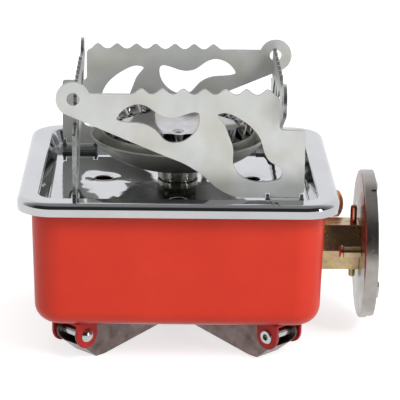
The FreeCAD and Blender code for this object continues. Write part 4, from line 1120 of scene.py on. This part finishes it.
@dataclass
class Controls:
    """The knob with its spindle, the igniter with its button, and the electrode."""

    knob_edge: float = 0.3

    def build(self) -> None:
        """Finish the controls and what is hidden in the box."""
        softened("control_knob", BLACK_PLASTIC, self.knob_edge)
        softened("tap_spindle", BRIGHT_ZINC, 0.15)
        softened("igniter_barrel", BLACK_PLASTIC, 0.2)
        softened("igniter_button", ORANGE_PLASTIC, 0.3)
        softened("electrode_ceramic", CERAMIC, 0.15)
        softened("electrode_wire", BRIGHT_ZINC, 0.05)
        for node, finish in (("tap_block", BRASS), ("gland_nut", BRASS), ("gas_jet", BRASS),
                             ("mixing_tube", BRIGHT_ZINC), ("spark_lead", SILICONE)):
            dress(node, finish)


@dataclass(frozen=True)
class Softbox:
    """A rectangular lamp: its place and size in metres, its power, and whether metal mirrors it."""

    name: str
    place: Triple
    width: float
    height: float
    power: float
    mirrored: bool = False


@dataclass
class Studio:
    """Camera, floor, world and lamps, in metres and degrees, with the lens and sensor in millimetres.

    room holds the world's ramp from behind the camera to behind the stove, as places and levels.
    ceiling is where its overhead part starts and ends. mirror_reach is where on the floor its mirror
    image brightens, and mirror_level how bright it is at both ends.
    """

    target: Triple = (0.0, 0.0, 0.0459)
    distance: float = 0.754945
    pitch: float = 16.577
    yaw: float = 0.507
    roll: float = 0.67
    lens: float = 188.1
    sensor: float = 36.0
    near: float = 0.05
    shift: Pair = (0.0562, 0.0064)
    floor_half: float = 6.0
    floor_drop: float = 0.0001
    paper: str = "#c4c4c4"
    paper_glow: float = 0.70
    mirror_reach: Pair = (-1.0, -0.42)
    mirror_level: Pair = (0.04, 0.98)
    ceiling: Pair = (0.70, 0.96)
    ceiling_colour: tuple[float, ...] = (0.30, 0.30, 0.31, 1)
    fill_colour: tuple[float, ...] = (0.38, 0.38, 0.39, 1)
    coolness: float = 1.02
    room: tuple[Pair, ...] = ((0.25, 0.03), (0.40, 0.20), (0.55, 0.40), (0.72, 0.98))
    lamps: tuple[Softbox, ...] = (
        Softbox("key_softbox", (0.80, -0.90, 1.00), 0.5, 0.5, 13.0),
        Softbox("side_softbox", (0.78, -0.62, 0.20), 0.12, 0.5, 2.4, mirrored=True),
        Softbox("left_softbox", (-0.75, -1.0, 0.65), 0.4, 0.5, 2.6),
        Softbox("top_softbox", (0.0, 0.45, 1.2), 0.8, 0.5, 5.0),
    )

    def build(self) -> None:
        """Set up the picture."""
        self._camera()
        self._floor()
        self._world()
        for softbox in self.lamps:
            self._lamp(softbox)
        bpy.context.scene.view_settings.view_transform = "Standard"

    def _camera(self) -> None:
        """Place the camera where the photograph was taken from."""
        pitch, yaw, roll = (math.radians(angle) for angle in (self.pitch, self.yaw, self.roll))
        ahead = Vector((math.sin(yaw) * math.cos(pitch), math.cos(yaw) * math.cos(pitch), -math.sin(pitch)))
        right = Vector((math.cos(yaw), -math.sin(yaw), 0.0))
        up = right.cross(ahead)
        across = right * math.cos(roll) + up * math.sin(roll)
        above = up * math.cos(roll) - right * math.sin(roll)
        data = bpy.data.cameras.new("camera")
        data.lens = self.lens
        data.sensor_width = self.sensor
        data.shift_x, data.shift_y = self.shift
        data.clip_start = self.near
        camera = bpy.data.objects.new("camera", data)
        place = Vector(self.target) - ahead * self.distance
        turn = Matrix((across, above, -ahead)).transposed().to_4x4()
        camera.matrix_world = Matrix.Translation(place) @ turn
        bpy.context.scene.collection.objects.link(camera)
        bpy.context.scene.camera = camera

    def _floor(self) -> None:
        """A pale floor that shows white to the camera and keeps the shadow."""
        work = bmesh.new()
        bmesh.ops.create_grid(work, x_segments=1, y_segments=1, size=self.floor_half)
        mesh = settled(work, "floor")
        floor = bpy.data.objects.new("floor", mesh)
        floor.location.z = -self.floor_drop
        bpy.context.scene.collection.objects.link(floor)
        material = bpy.data.materials.new("pale_paper")
        material.use_nodes = True
        tree = material.node_tree
        tree.nodes.clear()
        add = partial(add_node, tree)
        path = add("ShaderNodeLightPath")
        place = add("ShaderNodeTexCoord").outputs["Object"]
        parts = add("ShaderNodeSeparateXYZ", links={0: place})
        nearness = add("ShaderNodeMapRange",
                       {"From Min": self.mirror_reach[0], "From Max": self.mirror_reach[1],
                        "To Min": self.mirror_level[0], "To Max": self.mirror_level[1],
                        "interpolation_type": "SMOOTHSTEP"}, {"Value": parts.outputs["Y"]})
        paper = add("ShaderNodeBsdfDiffuse", {"Color": linear(self.paper)})
        level = add("ShaderNodeMath", {"operation": "MULTIPLY", 1: self.paper_glow},
                    {0: path.outputs["Is Camera Ray"]})
        lit = add("ShaderNodeEmission", {"Color": (1, 1, 1, 1)}, {"Strength": level})
        seen = add("ShaderNodeAddShader", links={0: paper, 1: lit})
        mirrored = add("ShaderNodeEmission", {"Color": (1, 1, 1, 1)}, {"Strength": nearness})
        both = add("ShaderNodeMixShader", links={0: path.outputs["Is Glossy Ray"], 1: seen, 2: mirrored})
        add("ShaderNodeOutputMaterial", links={"Surface": both})
        mesh.materials.append(material)

    def _world(self) -> None:
        """White to the camera and in reflections, with a dark room behind the camera."""
        world = bpy.data.worlds.new("studio")
        bpy.context.scene.world = world
        world.use_nodes = True
        tree = world.node_tree
        tree.nodes.clear()
        add = partial(add_node, tree)
        path = add("ShaderNodeLightPath")
        way = add("ShaderNodeTexCoord").outputs["Generated"]
        parts = add("ShaderNodeSeparateXYZ", links={0: way})
        depth = add("ShaderNodeMapRange", {"From Min": -1.0}, {"Value": parts.outputs["Y"]})
        across = add("ShaderNodeValToRGB", links={"Fac": depth})
        ramp = across.color_ramp
        ramp.interpolation = "EASE"
        while len(ramp.elements) < len(self.room):
            ramp.elements.new(0.5)
        for element, (place, level) in zip(ramp.elements, self.room):
            element.position = place
            element.color = (level, level, level * self.coolness, 1.0)
        over = add("ShaderNodeMapRange",
                   {"From Min": self.ceiling[0], "From Max": self.ceiling[1],
                    "interpolation_type": "SMOOTHSTEP"}, {"Value": parts.outputs["Z"]})
        room = add("ShaderNodeMix", {"data_type": "RGBA", 7: self.ceiling_colour}, {0: over, 6: across})
        soft = add("ShaderNodeMix", {"data_type": "RGBA", 6: self.fill_colour},
                   {0: path.outputs["Is Glossy Ray"], 7: room.outputs[2]})
        sight = add("ShaderNodeMath", {"operation": "MAXIMUM"},
                    {0: path.outputs["Is Camera Ray"], 1: path.outputs["Is Transmission Ray"]})
        colour = add("ShaderNodeMix", {"data_type": "RGBA", 7: (1, 1, 1, 1)},
                     {0: sight, 6: soft.outputs[2]})
        back = add("ShaderNodeBackground", {"Strength": 1.0}, {"Color": colour.outputs[2]})
        add("ShaderNodeOutputWorld", links={"Surface": back})

    def _lamp(self, softbox: Softbox) -> None:
        """Add a softbox that faces the stove.

        Args:
            softbox: the lamp.
        """
        data = bpy.data.lights.new(softbox.name, "AREA")
        data.shape = "RECTANGLE"
        data.size, data.size_y = softbox.width, softbox.height
        data.energy = softbox.power
        lamp = bpy.data.objects.new(softbox.name, data)
        lamp.visible_glossy = softbox.mirrored
        lamp.visible_camera = False
        lamp.location = softbox.place
        way = Vector(self.target) - Vector(softbox.place)
        lamp.rotation_euler = way.to_track_quat("-Z", "Y").to_euler()
        bpy.context.scene.collection.objects.link(lamp)


def main() -> None:
    """Build and dress the stove, then set up the picture."""
    logging.basicConfig(level=logging.INFO, format="%(name)s: %(message)s")
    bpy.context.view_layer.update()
    for part in (Box(), Tray(), Burner(), PotSupports(), Legs(), Valve(), Controls(), Studio()):
        LOG.info("start %s", type(part).__name__)
        part.build()


if __name__ == "__main__":
    main()
